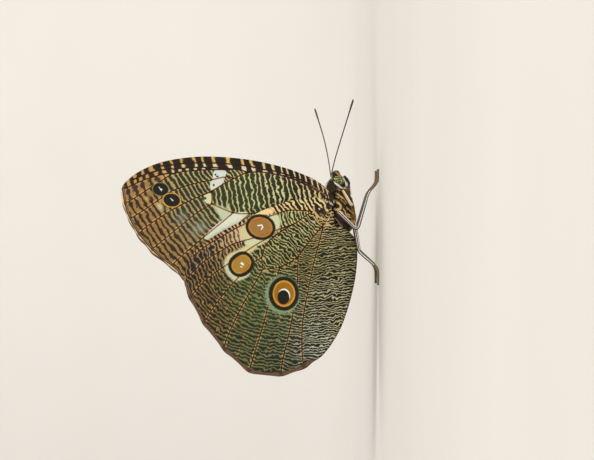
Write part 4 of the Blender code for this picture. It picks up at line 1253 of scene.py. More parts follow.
def build_wings():
    fore = Wing(FOREWING_OUTLINE, FOREWING_VEINS, (8, 14), FOREWING_CELLS, FOREWING_PAINT,
                FOREWING_FOLDS, FOREWING_PATCHES, FOREWING_STROKES)
    hind = Wing(HINDWING_OUTLINE, HINDWING_VEINS, (10, 20), HINDWING_CELLS, HINDWING_PAINT,
                HINDWING_FOLDS, HINDWING_PATCHES, HINDWING_STROKES)
    fore_materials = (
        wing_shader("forewing_under", FOREWING_SPOTS, FOREWING_BLOTS, (
            (0.86, (64, 48, 35)), (0.72, (152, 114, 72)), (0.56, (46, 34, 25)),
            (0.30, (222, 196, 148)), (0.05, (84, 64, 46)))),
        upperside_shader("forewing_upper", ((8.0, 34.0), (-16.0, 40.0), 1.6)),
    )
    hind_materials = (
        wing_shader("hindwing_under", HINDWING_SPOTS, (), (
            (0.98, (50, 37, 28)), (0.84, (138, 102, 70)), (0.70, (42, 30, 23)),
            (0.54, (122, 90, 70)), (0.2, (66, 48, 37)))),
        upperside_shader("hindwing_upper", ((-2.0, 33.0), (-30.0, 22.0), 2.4)),
    )
    for side, word in SIDE_NAMES.items():
        for kind, wing, materials, turn in (
            ("forewing", fore, fore_materials, LEFT_FOREWING_TURN),
            ("hindwing", hind, hind_materials, LEFT_HINDWING_TURN),
        ):
            name = kind + "_" + word
            obj = wing.build(name + "_film", side, turn if side == LEFT else 0.0, materials)
            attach(obj, "root")
            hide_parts(name)


# Body sections of the solids, as (x, middle z, half width, half height)
HEAD = (
    (1.8, 8.4, 1.0, 1.05), (2.4, 8.5, 1.5, 1.42), (3.6, 8.6, 1.78, 1.6), (4.8, 8.6, 1.66, 1.5),
    (5.7, 8.5, 1.15, 1.15), (6.15, 8.45, 0.5, 0.55),
)
THORAX = (
    (1.5, 8.35, 1.05, 1.1), (1.0, 8.3, 1.55, 1.6), (0.2, 8.15, 2.15, 2.3),
    (-1.2, 8.05, 2.8, 2.95), (-3.1, 8.0, 3.1, 3.2), (-5.0, 8.05, 2.75, 3.0),
    (-6.6, 8.25, 2.1, 2.45), (-7.6, 8.4, 1.4, 1.7),
)
ABDOMEN = (
    (-7.9, 8.4, 1.3, 1.5), (-9.0, 8.35, 1.75, 1.85), (-12.0, 8.3, 2.05, 2.1),
    (-17.0, 8.35, 1.95, 2.0), (-21.0, 8.5, 1.55, 1.6), (-23.6, 8.7, 1.0, 1.05),
    (-24.8, 8.8, 0.45, 0.5),
)
NECK_X, WAIST_X = 1.65, -7.75
GAP = 0.3                                        # between the body and what grows beside it
SECTION_STEP = 0.1
EYE_CENTRE, EYE_TILT = (4.3, 1.6, 8.64), 57.0    # degrees from straight ahead to its long axis
EYE_RADII = (1.24, 0.98, 0.82)                   # along the long axis, outwards, across
EYE_RINGS, EYE_SIDES = 48, 72
PALP_RADIUS = 0.42
SKIN_STEP, SKIN_SIDES, VOXEL = 0.14, 72, 0.1
ABDOMEN_RINGS, RING_DEPTH = 8, 0.07
COAT_DEPTHS = ((6.2, 0.16), (2.2, 0.2), (1.0, 0.3), (-3.0, 0.42), (-7.0, 0.3), (-9.0, 0.16),
               (-24.8, 0.1))          # x, depth of the coat there

# Lines on the side of the body: (x, z) points, half width, hue (1 white, 0 gold, -1 orange,
# -2 purple)
BODY_LINES = (
    (((4.85, 10.2), (4.41, 10.33), (4.02, 9.93)), 0.19, -0.1),
    (((4.02, 9.93), (3.59, 9.37), (3.23, 8.8), (2.89, 8.24), (2.63, 7.5)), 0.16, 0.8),
    (((2.63, 7.5), (2.83, 7.11), (3.25, 6.92), (3.6, 7.05)), 0.21, 1.0),
    (((3.6, 7.05), (3.9, 7.17), (4.41, 7.39), (4.89, 7.67)), 0.14, 0.6),
    (((4.25, 11.3), (4.1, 10.85), (3.6, 10.2), (2.95, 9.6)), 0.08, -0.2),
    (((2.8, 11.4), (2.72, 10.8), (2.85, 10.2)), 0.1, -0.3),
    (((6.2, 9.4), (5.85, 9.0), (5.5, 8.6), (5.25, 8.3)), 0.19, -0.3),
    (((2.36, 9.98), (2.15, 9.6)), 0.25, -0.1),
    (((2.25, 9.8), (1.93, 9.42), (1.5, 9.14), (1.15, 8.65), (0.5, 7.9)), 0.15, 0.0),
    (((2.65, 9.2), (2.4, 8.7), (2.1, 8.4)), 0.09, -0.4),
    (((2.4, 9.35), (2.55, 8.9), (2.1, 8.5)), 0.09, -0.2),
    (((0.8, 9.42), (0.74, 9.25)), 0.15, 0.1),
    (((0.67, 8.87), (0.6, 8.75)), 0.15, 0.0),
    (((0.03, 9.6), (-0.47, 8.97), (-0.98, 8.41), (-1.38, 8.24), (-1.94, 8.41)), 0.21, 0.05),
    (((-1.94, 8.41), (-2.11, 8.97), (-1.88, 9.65)), 0.26, 0.25),
    (((-2.9, 9.2), (-4.0, 8.75), (-5.2, 7.9), (-6.3, 7.2)), 0.34, -2.0),
    (((-2.64, 8.07), (-2.9, 7.88)), 0.21, 0.9),
    (((-1.87, 7.66), (-2.44, 7.32), (-3.23, 7.1), (-3.68, 6.42), (-3.9, 5.5)), 0.13, 0.05),
    (((-2.9, 6.9), (-3.3, 6.3)), 0.12, 0.0),
    (((-1.53, 7.1), (-2.1, 6.42), (-2.55, 5.95)), 0.08, 0.0),
    (((0.16, 8.25), (-0.41, 7.67), (-0.97, 7.2)), 0.1, -0.45),
    (((0.7, 7.9), (0.1, 7.45), (-0.6, 6.9)), 0.07, -0.1),
    (((-3.9, 9.5), (-4.55, 8.95), (-5.05, 8.7), (-5.4, 9.35), (-5.8, 10.0)), 0.13, 0.1),
    (((-5.2, 8.6), (-5.6, 8.0), (-6.05, 7.5)), 0.13, 0.05),
    (((1.1, 10.2), (0.2, 9.95), (-0.4, 10.3)), 0.1, -0.1),
    (((-3.1, 9.4), (-3.5, 8.9), (-4.1, 8.5)), 0.09, -0.4),
)
# The head's sections as the skin has them
HEAD_SKIN = (
    (2.4, 8.5, 1.5, 1.42), (3.6, 8.62, 1.78, 1.58), (4.6, 8.75, 1.66, 1.38),
    (5.3, 8.95, 1.25, 1.06), (5.9, 9.12, 0.8, 0.74), (6.25, 9.2, 0.4, 0.4),
)
# Round forms that fill the skin out: middle, radii
FRONS = ((5.5, 0.0, 9.15), (0.78, 0.75, 0.72))
CHEEKS = (((3.35, 0.95, 7.28), (0.95, 0.62, 0.48)), ((4.35, 0.8, 7.36), (0.95, 0.6, 0.46)))
THROAT = ((1.6, 0.0, 7.25), (1.3, 0.85, 0.64))
NO_LINE = -1.0                          # depth of a place far from every line
CROWN_LIFT, SOCKET_LIFT = 0.2, 0.12
SKIN_FRONT, SKIN_BACK = 6.2, -24.75
TAIL_X = -24.8
THINNEST = 0.1                          # least half width of a section under the coat
PALP_INSET, PALP_SIDES, PALP_STEP = 0.1, 20, 0.25
POLE = 0.12                             # angle by which an ellipsoid's ends are cut off
SOCKET_AT, SOCKET_WIDTH, SOCKET_END = 1.2, 0.1, 1.6     # the ring round the eye
CROWN_FOOT, CROWN_EASE = (1.5, 9.3), (1.0, 0.7)      # x and z
BELLY_TOP, BELLY_EASE, WAIST_EASE = 7.9, 1.2, 3.0
LINE_STEP = 0.15


def body_curve():
    """The body's sections as one smooth run from the head's front to the tail, neck filled."""
    stations = [s for s in HEAD_SKIN + THORAX + ABDOMEN if abs(s[0] - NECK_X) > 0.3]
    return smooth_curve(np.array(sorted(stations)), SECTION_STEP)


def section(stations, x):
    """A body's middle height, half width and half height at x."""
    curve = smooth_curve(np.array(sorted(stations)), SECTION_STEP)
    return resampled(curve[:, 1:], curve[:, 0], [x])[0].tolist()


def beside(stations, x, degrees, side, clearance):
    """A point off a body's surface, with its angle counted from straight below."""
    middle, width, height = section(stations, x)
    angle = math.radians(degrees)
    out = Vector((0, math.sin(angle) / width, -math.cos(angle) / height)).normalized()
    point = Vector((x, width * math.sin(angle), middle - height * math.cos(angle)))
    point += out * clearance
    return (point.x, side * point.y, point.z)


def tube_faces(rings, sides):
    """The faces of a closed tube whose vertices run ring by ring."""
    faces = []
    for k in range(rings - 1):
        for j in range(sides):
            a, b = k * sides + j, k * sides + (j + 1) % sides
            faces.append((a, b, b + sides, a + sides))
    last = (rings - 1) * sides
    return [*faces, tuple(range(sides))[::-1], tuple(range(last, last + sides))]


def tube(path, radii, sides):
    """Vertices and faces of a closed tube, with frames carried along the path."""
    normal = np.array([0.0, 1.0, 0.0])
    verts = []
    cosines, sines = np.cos(circle(sides))[:, None], np.sin(circle(sides))[:, None]
    for middle, direction, radius in zip(path, unit(np.gradient(path, axis=0)), radii):
        normal = normal - direction * (normal @ direction)
        normal /= np.linalg.norm(normal)
        verts.append(middle + radius * (cosines * normal + sines * np.cross(direction, normal)))
    return np.vstack(verts), tube_faces(len(path), sides)


def palp_path(side):
    """The palp's middle line, close below the face."""
    points = [(2.9, side * 0.55, 7.7), (2.6, side * 0.85, 6.98), (3.3, side * 0.98, 6.66),
              (4.0, side * 0.98, 6.74), (4.6, side * 0.9, 6.95), (5.1, side * 0.78, 7.28)]
    return smooth_curve(points, PALP_STEP)


def ball(centre, radii, rings=16, sides=28):
    """Vertices and faces of a closed ellipsoid."""
    verts = []
    for turn in np.linspace(POLE, math.pi - POLE, rings):
        x = centre[0] + radii[0] * math.cos(turn)
        y = centre[1] + radii[1] * math.sin(turn) * np.cos(circle(sides))
        z = centre[2] + radii[2] * math.sin(turn) * np.sin(circle(sides))
        verts.append(np.column_stack([np.full(sides, x), y, z]))
    return np.vstack(verts), tube_faces(rings, sides)


def skin_forms():
    """The closed forms that the skin is fused from: body, palps, cheeks, frons and throat."""
    curve = body_curve()
    xs = np.arange(SKIN_FRONT, SKIN_BACK, -SKIN_STEP)
    middle, width, height = resampled(curve[:, 1:], curve[:, 0], xs).T
    depth = np.interp(xs, *np.array(COAT_DEPTHS[::-1]).T)
    behind = np.clip((WAIST_X - xs) / (WAIST_X - TAIL_X), 0, 1)
    groove = RING_DEPTH * np.cos(math.pi * ABDOMEN_RINGS * behind) ** 12 * (behind > 0)
    verts = []
    for x, m, w, h, d, g in zip(xs, middle, width, height, depth, groove):
        w, h = max(THINNEST, (w - d) * (1 - g)), max(THINNEST, (h - d) * (1 - g))
        verts += [(x, w * math.sin(a), m + h * math.cos(a)) for a in circle(SKIN_SIDES)]
    forms = [(np.array(verts), tube_faces(len(xs), SKIN_SIDES))]
    for side in SIDE_NAMES:
        path = palp_path(side)
        t = np.linspace(0, 1, len(path))
        radii = (PALP_RADIUS - PALP_INSET) * (0.85 + 0.3 * np.sin(math.pi * t) - 0.45 * t ** 3)
        forms.append(tube(path, radii, PALP_SIDES))
        forms += [ball((x, side * y, z), sizes) for (x, y, z), sizes in CHEEKS]
    return [*forms, ball(*FRONS), ball(*THROAT)]


def face_outwards(mesh):
    bm = bmesh.new()
    bm.from_mesh(mesh)
    bmesh.ops.recalc_face_normals(bm, faces=bm.faces)
    bm.to_mesh(mesh)
    bm.free()


def fused(forms):
    """One closed mesh around forms that run into each other."""
    verts, faces = [], []
    for places, ends in forms:
        faces += [tuple(i + len(verts) for i in face) for face in ends]
        verts += places.tolist()
    rough = bpy.data.meshes.new("skin_rough")
    rough.from_pydata(verts, [], faces)
    face_outwards(rough)
    obj = new_object("skin_rough", rough)
    remesh = obj.modifiers.new("fuse", "REMESH")
    remesh.mode = "VOXEL"
    remesh.voxel_size = VOXEL
    settle = obj.modifiers.new("settle", "SMOOTH")
    settle.factor, settle.iterations = 0.5, 4
    ready = obj.evaluated_get(bpy.context.evaluated_depsgraph_get())
    mesh = bpy.data.meshes.new_from_object(ready)
    bpy.data.objects.remove(obj)
    return mesh


def build_skin(material):
    """One closed skin over the head, thorax, abdomen and palps."""
    mesh = fused(skin_forms())
    mesh.name = "skin"
    places = read(mesh, "co")
    normals = read(mesh, "normal")
    ring = eye_reach(places)
    lift = SOCKET_LIFT * bell(ring, SOCKET_AT, SOCKET_WIDTH) * (ring < SOCKET_END)
    crown_x, crown_z = smoothstep((places[:, [0, 2]] - CROWN_FOOT) / np.array(CROWN_EASE)).T
    crown = crown_z * crown_x
    lift += CROWN_LIFT * crown
    places += normals * lift[:, None]
    mark = body_marks(places)
    add_field(mesh, "flat", places)
    add_field(mesh, "mark", mark)
    mesh.vertices.foreach_set("co", in_metres(places).ravel())
    mesh.update()
    mesh.shade_smooth()
    skin = new_object("body_skin", mesh, material)
    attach(skin, "root")
    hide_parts("head", "thorax", "abdomen", "palp_right", "palp_left")
    return mesh, places, normals, mark


def read(mesh, what):
    """The places or normals of a mesh's vertices."""
    flat = np.zeros(len(mesh.vertices) * 3)
    mesh.vertices.foreach_get(what, flat)
    return flat.reshape(-1, 3)


def eye_reach(places):
    """1 on the nearer eye's surface, more outside it."""
    x, y, z = (places * (1, 0, 1) + np.abs(places) * (0, 1, 0) - np.array(EYE_CENTRE)).T
    tilt = math.radians(EYE_TILT)
    along = (x * math.cos(tilt) + z * math.sin(tilt)) / EYE_RADII[0]
    across = (z * math.cos(tilt) - x * math.sin(tilt)) / EYE_RADII[2]
    return np.sqrt(along ** 2 + (y / EYE_RADII[1]) ** 2 + across ** 2)


def body_marks(places):
    """How deep each place lies in a line, the line's hue, and how pale the ground is."""
    flat = places[:, [0, 2]]
    depth = np.full(len(places), NO_LINE)
    hue = np.zeros(len(places))
    for line, half, tint in BODY_LINES:
        reach = half - nearest_on(flat, smooth_curve(line, LINE_STEP))[0]
        closer = reach > depth
        depth[closer] = reach[closer]
        hue[closer] = tint
    pale = smoothstep((WAIST_X - places[:, 0]) / WAIST_EASE)
    pale *= smoothstep((BELLY_TOP - places[:, 2]) / BELLY_EASE)
    return np.column_stack([depth, hue, pale])


BOX_INSET = 0.00002                      # metres that tufts keep inside the solids' box
TUFT_POINTS = 7
TUFT_RING = ((1.0, 0.0), (-0.5, 0.6), (-0.5, -0.6))      # a tuft's corners, sideways and out
TUFT_SIDES = ((0, 1, 4, 3), (1, 2, 5, 4), (2, 0, 3, 5))
TUFT_ENDS = ((3, 4, 6), (4, 5, 6), (5, 3, 6), (2, 1, 0))
TUFT_ALONG = (0, 0, 0, 0.5, 0.5, 0.5, 1.0)
TUFT_UV = ((-1, -1), (1, -1), (0, -1), (-1, 0), (1, 0), (0, 0.2), (0, 1))
TUFT_UV_SIZE = 0.0015
ROOT_DEPTH = 0.05                        # how far a tuft starts under its surface
LIE_SPREAD, CURL, NARROWING = 0.22, 0.18, 0.75
BACKWARDS, DROOP, DROOP_TOP, DROOP_EASE = (-1.0, 0.0, -0.12), 0.5, 7.5, 2.0
PALP_REACH, PALP_BACK, PALP_TOP = 0.52, 3.0, 7.0
PALP_SHARE, EYE_EDGE, EYE_EDGE_SHARE = 1.5, 1.4, 0.6     # lengths on the palps and by the eyes
UV_START, UV_LENGTH, UV_AXIS = -25.5, 33.0, 8.3          # the body laid out flat
UV_EDGE = 0.02


def flattened(vectors, normals):
    """Vectors laid down on the surface."""
    return vectors - normals * np.sum(vectors * normals, axis=1)[:, None]


class Tufts:
    """Thin three-sided tufts rooted in a surface and lying along it."""

    def __init__(self, name, material):
        self.name, self.material = name, material
        self.verts, self.uvs, self.marks, self.shades = [], [], [], []

    def add(self, roots, normals, lies, lengths, widths, lift, uvs, marks, seed, bend):
        random = np.random.default_rng(seed)
        lies = flattened(lies, normals) + random.normal(0, LIE_SPREAD, lies.shape)
        lies = flattened(lies, normals)
        lies /= np.linalg.norm(lies, axis=1)[:, None] + 1e-9
        sides = np.cross(lies, normals)
        lifts = (lift * random.uniform(0.6, 1.4, len(roots)))[:, None]
        first = lies * np.cos(lifts) + normals * np.sin(lifts)
        second = lies * np.cos(lifts * bend) + normals * np.sin(lifts * bend)
        second += sides * random.normal(0, CURL, (len(roots), 1))
        lengths, widths = lengths[:, None], widths[:, None]
        start = roots - normals * ROOT_DEPTH
        middle = roots + first * lengths * 0.5
        tip = middle + second * lengths * 0.5
        rows = [start + (sides * a + normals * b) * widths for a, b in TUFT_RING]
        rows += [middle + (sides * a + normals * b) * widths * NARROWING for a, b in TUFT_RING]
        rows.append(tip)
        self.verts.append(np.stack(rows, axis=1))
        self.uvs.append(uvs)
        self.marks.append(marks)
        self.shades.append(random.uniform(0, 1, len(roots)))

    def build(self, slot):
        verts = np.concatenate(self.verts)
        count = len(verts)
        flat = verts.reshape(-1, 3)
        base = (np.arange(count) * TUFT_POINTS)[:, None]
        quads = np.concatenate([base + np.array(f) for f in TUFT_SIDES])
        thirds = np.concatenate([base + np.array(f) for f in TUFT_ENDS])
        low, high = (np.array(list(corner)) for corner in CAD_BOX)
        places = np.clip(in_metres(flat), low + BOX_INSET, high - BOX_INSET)
        mesh = bpy.data.meshes.new(self.name)
        mesh.from_pydata(places.tolist(), [], quads.tolist() + thirds.tolist())
        shades = np.repeat(np.concatenate(self.shades), TUFT_POINTS)
        add_field(mesh, "mark", np.repeat(np.concatenate(self.marks), TUFT_POINTS, axis=0))
        add_field(mesh, "flat", flat)
        add_field(mesh, "tuft", np.column_stack([np.tile(TUFT_ALONG, count), shades]))
        spots = np.concatenate(self.uvs)[:, None] + np.array(TUFT_UV) * TUFT_UV_SIZE
        loops = np.concatenate([quads.ravel(), thirds.ravel()])
        layer = mesh.uv_layers.new(name="OFBake")
        layer.uv.foreach_set("vector", spots.reshape(-1, 2)[loops].astype(np.float32).ravel())
        mesh.shade_smooth()
        obj = new_object(self.name, mesh, self.material)
        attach(obj, "root")


def skin_samples(mesh, places, normals, mark, count, seed, ground):
    """Random places on the skin, with their normals and marks."""
    triangles = []
    for polygon in mesh.polygons:
        corners = list(polygon.vertices)
        triangles += [(corners[0], corners[k], corners[k + 1]) for k in range(1, len(corners) - 1)]
    triangles = np.array(triangles)
    a, b, c = (places[triangles[:, k]] for k in range(3))
    area = np.linalg.norm(np.cross(b - a, c - a), axis=1)
    middles = (a + b + c) / 3
    area = area * ground(*middles.T, eye_reach(middles))
    random = np.random.default_rng(seed)
    picked = triangles[random.choice(len(triangles), count, p=area / area.sum())]
    share = random.dirichlet((1, 1, 1), count)
    roots, out, marks = (
        np.sum(values[picked] * share[:, :, None], axis=1) for values in (places, normals, mark)
    )
    return roots, unit(out), marks, random


def skin_uv(roots):
    """Each root's place on the body's skin laid out flat."""
    around = np.arctan2(roots[:, 1], roots[:, 2] - UV_AXIS) / (2 * math.pi) + 0.5
    along = (roots[:, 0] - UV_START) / UV_LENGTH
    return UV_EDGE + (1 - 2 * UV_EDGE) * np.column_stack([along, around])


def coat_lies(roots):
    """The way the coat lies: back and a little down, and along the palps."""
    lies = np.tile(np.array(BACKWARDS), (len(roots), 1))
    low = smoothstep((DROOP_TOP - roots[:, 2]) / DROOP_EASE)
    lies[:, 2] -= DROOP * low * (roots[:, 0] < NECK_X)
    for side in SIDE_NAMES:
        path = palp_path(side)
        for k in range(len(path) - 1):
            near = np.linalg.norm(roots - path[k], axis=1) < PALP_REACH
            near &= roots[:, 0] > PALP_BACK
            lies[near] = path[k + 1] - path[k]
    return lies


BREAST_TOP = ((-6.8, 6.4), (-3.0, 5.9), (0.0, 6.5), (0.2, 6.5))
THROAT_TOP = ((0.2, 6.6), (1.2, 7.2), (3.1, 7.15))
ORANGE_HAIR = ((-5.7, -4.2, 0.95), (-3.5, -2.6, 0.35))     # from x, to x, share of the hairs
GOLDEN_SHARE, CREST_SHARE = 0.35, 0.3   # share of the hairs that carry a line's colour
GOLD_HUE, ORANGE_HUE = -0.3, -1.0


def below(x, z, top):
    """Which places lie below a line given by its points."""
    return z < np.interp(x, *np.array(top).T)


# Where each coat grows, from the places' x, y, z and their reach from the eyes
GROUNDS = {
    "coat_head": lambda x, y, z, eye: (x > NECK_X) * (eye > 1.06),
    "coat_thorax": lambda x, y, z, eye: (x <= NECK_X) * (x > WAIST_X),
    "coat_abdomen": lambda x, y, z, eye: x <= WAIST_X,
    "coat_crest": lambda x, y, z, eye: (
        (x > -0.5) * (x < 4.8) * (z > 9.3) * (np.abs(y) < 1.35) * (eye > 1.3)),
    "coat_throat": lambda x, y, z, eye: (x > 0.2) * (x < 3.1) * below(x, z, THROAT_TOP),
    "coat_breast": lambda x, y, z, eye: (x > -6.8) * (x < 0.2) * below(x, z, BREAST_TOP),
    "coat_frons": lambda x, y, z, eye: (x > 5.0) * (z > 8.5) * (eye > 1.25),
}
# Coats: name, count, width, lift, how much of the lift the tip keeps, the way it lies (None for
# scales that lie along the body), seed, longest share of the length, and lengths over x
COATS = (
    ("coat_head", 12000, 0.032, 0.28, 0.2, None, 11, 1.35, ((0.0, 0.26),)),
    ("coat_thorax", 17000, 0.045, 0.2, 0.2, None, 12, 1.35, ((0.0, 0.30),)),
    ("coat_abdomen", 9000, 0.05, 0.16, 0.2, None, 13, 1.35, ((0.0, 0.5),)),
    ("coat_crest", 5200, 0.05, 1.2, 0.8, (-1.0, 0.0, 0.1), 21, 1.15,
     ((-0.5, 0.6), (0.8, 1.2), (1.8, 2.1), (2.7, 2.5), (3.5, 1.9), (4.2, 1.1), (4.8, 0.45))),
    ("coat_throat", 2600, 0.045, 1.15, 0.8, (-1.0, 0.0, -0.2), 24, 1.15,
     ((0.2, 0.6), (1.0, 0.9), (2.0, 0.85), (2.8, 0.6), (3.1, 0.4))),
    ("coat_breast", 5200, 0.045, 0.6, 0.5, (-0.5, 0.0, -0.85), 22, 1.15,
     ((-6.8, 0.4), (-5.6, 0.7), (-4.8, 1.1), (-3.2, 0.75), (-2.0, 0.4), (0.2, 0.45))),
    ("coat_frons", 1300, 0.035, 0.7, 0.6, (1.0, 0.0, 0.25), 23, 1.15,
     ((5.0, 0.25), (5.6, 0.4), (6.4, 0.5))),
)


def hair_marks(name, roots, middles, picks):
    """The marks of long hairs: few carry the colour of the line that they lie over."""
    marks = body_marks(middles)
    if name == "coat_crest":
        marks[picks > CREST_SHARE, 0] = NO_LINE
    if name in ("coat_breast", "coat_throat"):
        marks[:, 0] = NO_LINE
        golden = picks < GOLDEN_SHARE
        marks[golden, 0], marks[golden, 1] = 1.0, GOLD_HUE
        for start, end, share in ORANGE_HAIR:
            orange = (roots[:, 0] > start) & (roots[:, 0] < end) & (picks < share)
            marks[orange, 0], marks[orange, 1] = 1.0, ORANGE_HUE
    return marks


def build_coats(skin, material):
    """Scales over the skin, and longer hair on crown, throat, breast and frons."""
    for name, count, width, lift, bend, lie, seed, longest, spans in COATS:
        roots, out, marks, random = skin_samples(*skin, count, seed, GROUNDS[name])
        lengths = np.interp(roots[:, 0], *np.array(spans).T) * random.uniform(0.6, longest, count)
        widths = width * random.uniform(0.7, 1.3, count)
        if name == "coat_head":
            palp = (roots[:, 2] < PALP_TOP) & (roots[:, 0] > PALP_BACK)
            lengths[palp] *= PALP_SHARE
            lengths[(eye_reach(roots) < EYE_EDGE) & ~palp] *= EYE_EDGE_SHARE
        if lie is None:
            lies = coat_lies(roots)
        else:
            middles = roots + out * lengths[:, None] * 0.5
            marks = hair_marks(name, roots, middles, random.uniform(0, 1, count))
            lies = np.tile(np.array(lie), (count, 1))
        coat = Tufts(name, material)
        coat.add(roots, out, lies, lengths, widths, lift, skin_uv(roots), marks, seed + 100, bend)
        coat.build("body_coat")


def coat_shader(name, tuft):
    """Dark brown scales and hair with gold and white lines, on the skin and on its tufts."""
    shader = Shader(name, 0.7)
    flat = shader.attribute("flat")
    line, hue, pale = shader.numbers("mark")
    broad = shader.noise(flat, 0.9, 2.0)
    fine = shader.noise(flat, 9.0, 2.0)
    colour = shader.mix(shader.step(broad, 0.35, 0.68), COAT_DARK, COAT_BROWN)
    purple = shader.step(shader.noise(flat, 1.3, 1.0), 0.55, 0.68)
    colour = shader.mix(shader.times(purple, 0.5), colour, COAT_PURPLE)
    colour = shader.mix(pale, colour, COAT_BELLY)
    wobble = shader.line(fine, 0.08, line)
    drawn = shader.mix(shader.noise(flat, 2.0, 1.0), LINE_GOLD, LINE_PALE)
    drawn = shader.mix(shader.step(hue, 0.0, 0.9), drawn, LINE_WHITE)
    drawn = shader.mix(shader.step(hue, 0.0, -0.5), drawn, LINE_TAWNY)
    drawn = shader.mix(shader.step(hue, -0.5, -0.95), drawn, LINE_ORANGE)
    drawn = shader.mix(shader.step(hue, -1.2, -1.8), drawn, LINE_PURPLE)
    outline = shader.times(shader.step(wobble, -0.2, -0.02), 0.75)
    colour = shader.mix(outline, colour, COAT_SHADOW)
    colour = shader.mix(shader.step(wobble, 0.0, 0.06), colour, drawn)
    if tuft:
        along, third = shader.numbers("tuft")[:2]
        # Each tuft's own random tone, times painted shade: darker towards the tuft's root, lighter
        # towards its tip
        light = shader.line(third, 0.6, 0.62)
        light = shader.line(along, 0.35, light)
        golden = shader.times(shader.step(third, 0.85, 0.97), 0.4)
        golden = shader.times(golden, shader.step(wobble, 0.0, -0.1))
        colour = shader.mix(golden, colour, COAT_TAWNY)
    else:
        light = shader.line(fine, 0.7, 0.6)
    shader.colour(shader.scaled(colour, light))
    if not tuft:
        shader.bump(fine, 0.5, BODY_GRAIN)
    shader.finish({"Sheen Weight": 0.12, "Specular IOR Level": 0.3})
    return shader.material


def sphere(rings, sides):
    """Vertices and faces of a ball of radius 1, ring by ring from its top to its bottom."""
    verts = [(0.0, 0.0, 1.0)]
    for turn in math.pi * np.arange(1, rings) / rings:
        verts += [(math.sin(turn) * math.cos(angle), math.sin(turn) * math.sin(angle),
                   math.cos(turn)) for angle in circle(sides)]
    verts.append((0.0, 0.0, -1.0))
    bottom = len(verts) - 1
    faces = [tuple(i + 1 for i in face[::-1]) for face in tube_faces(rings - 1, sides)[:-2]]
    for j in range(sides):
        one, two = 1 + j, 1 + (j + 1) % sides
        last = bottom - 1 - sides
        faces += [(0, one, two), (bottom, last + two, last + one)]
    return np.array(verts), faces


def build_eyes():
    shader = Shader("eye_gloss", 0.35)
    flat = shader.attribute("flat")
    facets = shader.node("ShaderNodeTexVoronoi")
    shader.put(flat, facets.inputs["Vector"])
    facets.inputs["Scale"].default_value = 11.0
    spots = shader.node("ShaderNodeTexVoronoi")
    shader.put(flat, spots.inputs["Vector"])
    spots.inputs["Scale"].default_value = 2.8
    spots.inputs["Randomness"].default_value = 0.5
    blotch = shader.noise(flat, 1.6, 2.0)
    lit = shader.step(spots.outputs["Distance"], 0.42, 0.2)
    height = shader.parts(flat)[2]
    colour = shader.mix(blotch, EYE_DARK, EYE_GREEN)
    colour = shader.mix(shader.step(height, 8.5, 7.9), colour, EYE_OLIVE)
    colour = shader.mix(lit, colour, EYE_LIT)
    colour = shader.mix(shader.step(spots.outputs["Distance"], 0.5, 0.62), colour, EYE_NET)
    shader.colour(colour)
    shader.bump(facets.outputs["Distance"], 0.25, EYE_GRAIN)
    shader.finish({"Coat Weight": 0.2, "Coat Roughness": 0.25})
    verts, faces = sphere(EYE_RINGS, EYE_SIDES)
    along, aside, across = (verts * np.array(EYE_RADII)).T
    tilt = math.radians(EYE_TILT)
    x, y, z = EYE_CENTRE
    for side, word in SIDE_NAMES.items():
        places = np.column_stack([
            x + along * math.cos(tilt) - across * math.sin(tilt), side * y + aside,
            z + along * math.sin(tilt) + across * math.cos(tilt),
        ])
        mesh = bpy.data.meshes.new("eye_" + word)
        mesh.from_pydata(in_metres(places).tolist(), [], faces)
        add_field(mesh, "flat", places)
        mesh.shade_smooth()
        obj = new_object("eyeball_" + word, mesh, shader.material)
        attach(obj, "root")
        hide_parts("eye_" + word)


# Limbs
PROBOSCIS_RADIUS, COIL_RADIUS, COIL_CENTRE = 0.19, 0.38, (3.7, 6.6)
ANTENNA_RADIUS, ANTENNA_VISIBLE, CLUB_VISIBLE = 0.26, 0.12, 0.22
ANTENNA_PATH = {
    RIGHT: ((8.6, 2.3, 10.95), (13.0, 5.2, 11.9), (19.8, 10.8, 14.05)),
    LEFT: ((8.4, 1.4, 9.65), (13.0, 3.0, 8.3), (22.6, 6.0, 5.3)),
}
FEMUR_RADIUS, TIBIA_RADIUS, TARSUS_RADIUS = 0.48, 0.38, 0.3
TARSUS_HEIGHT = 0.23
FORELEG_RADIUS = 0.36
FORELEG_JOINTS = ((2.1, 1.75, 7.85), (-1.6, 2.5, 5.75), (0.4, 1.25, 5.95))
MIDLEG_JOINTS = ((-6.7, 6.3, 4.7), (1.6, 7.9, 2.3), (3.9, 8.4, TARSUS_HEIGHT),
                 (6.6, 8.9, TARSUS_HEIGHT))
HINDLEG_JOINTS = ((-11.2, 6.3, 4.3), (-14.2, 8.9, 0.95), (-15.5, 9.4, TARSUS_HEIGHT),
                  (-18.6, 10.1, TARSUS_HEIGHT))
CORNER_CUT = 0.9
LIMB_STEP, LIMB_SIDES = 0.09, 24
TARSUS_PARTS, ANTENNA_RINGS = 5, 34
ROOT_SINK = 0.7                       # how far a limb's root runs into the body
HAIR_FLOOR, LEG_HAIR_WIDTH = 0.12, 0.022
UV_ROW = 0.15                         # the height of one leg's row in the coat's layout
JOINT_BLEND, ELBOW_BLEND = 0.25, 0.2  # length over which a leg's kinds blend
FEMUR_SWELL, TARSUS_NOTCH, TARSUS_TIP = 0.12, 0.2, 0.9
KNEE_PINCH, ANKLE_PINCH = (0.14, 0.22), (0.1, 0.2)     # depth, width
WALKING_HAIRS, FOLDED_HAIRS, HAIR_LIFT, HAIR_BEND = 260, 80, 0.4, 0.2
ANTENNA_SOCKET = (4.6, 0.3, 9.4)
CLUB_AT, CLUB_WIDTH, ANTENNA_TIP = 0.93, 0.09, (0.85, 0.65, 0.4, 0.12)
COIL_TURNS, COIL_CLOSING, COIL_STEPS = 1.25, 0.72, 60


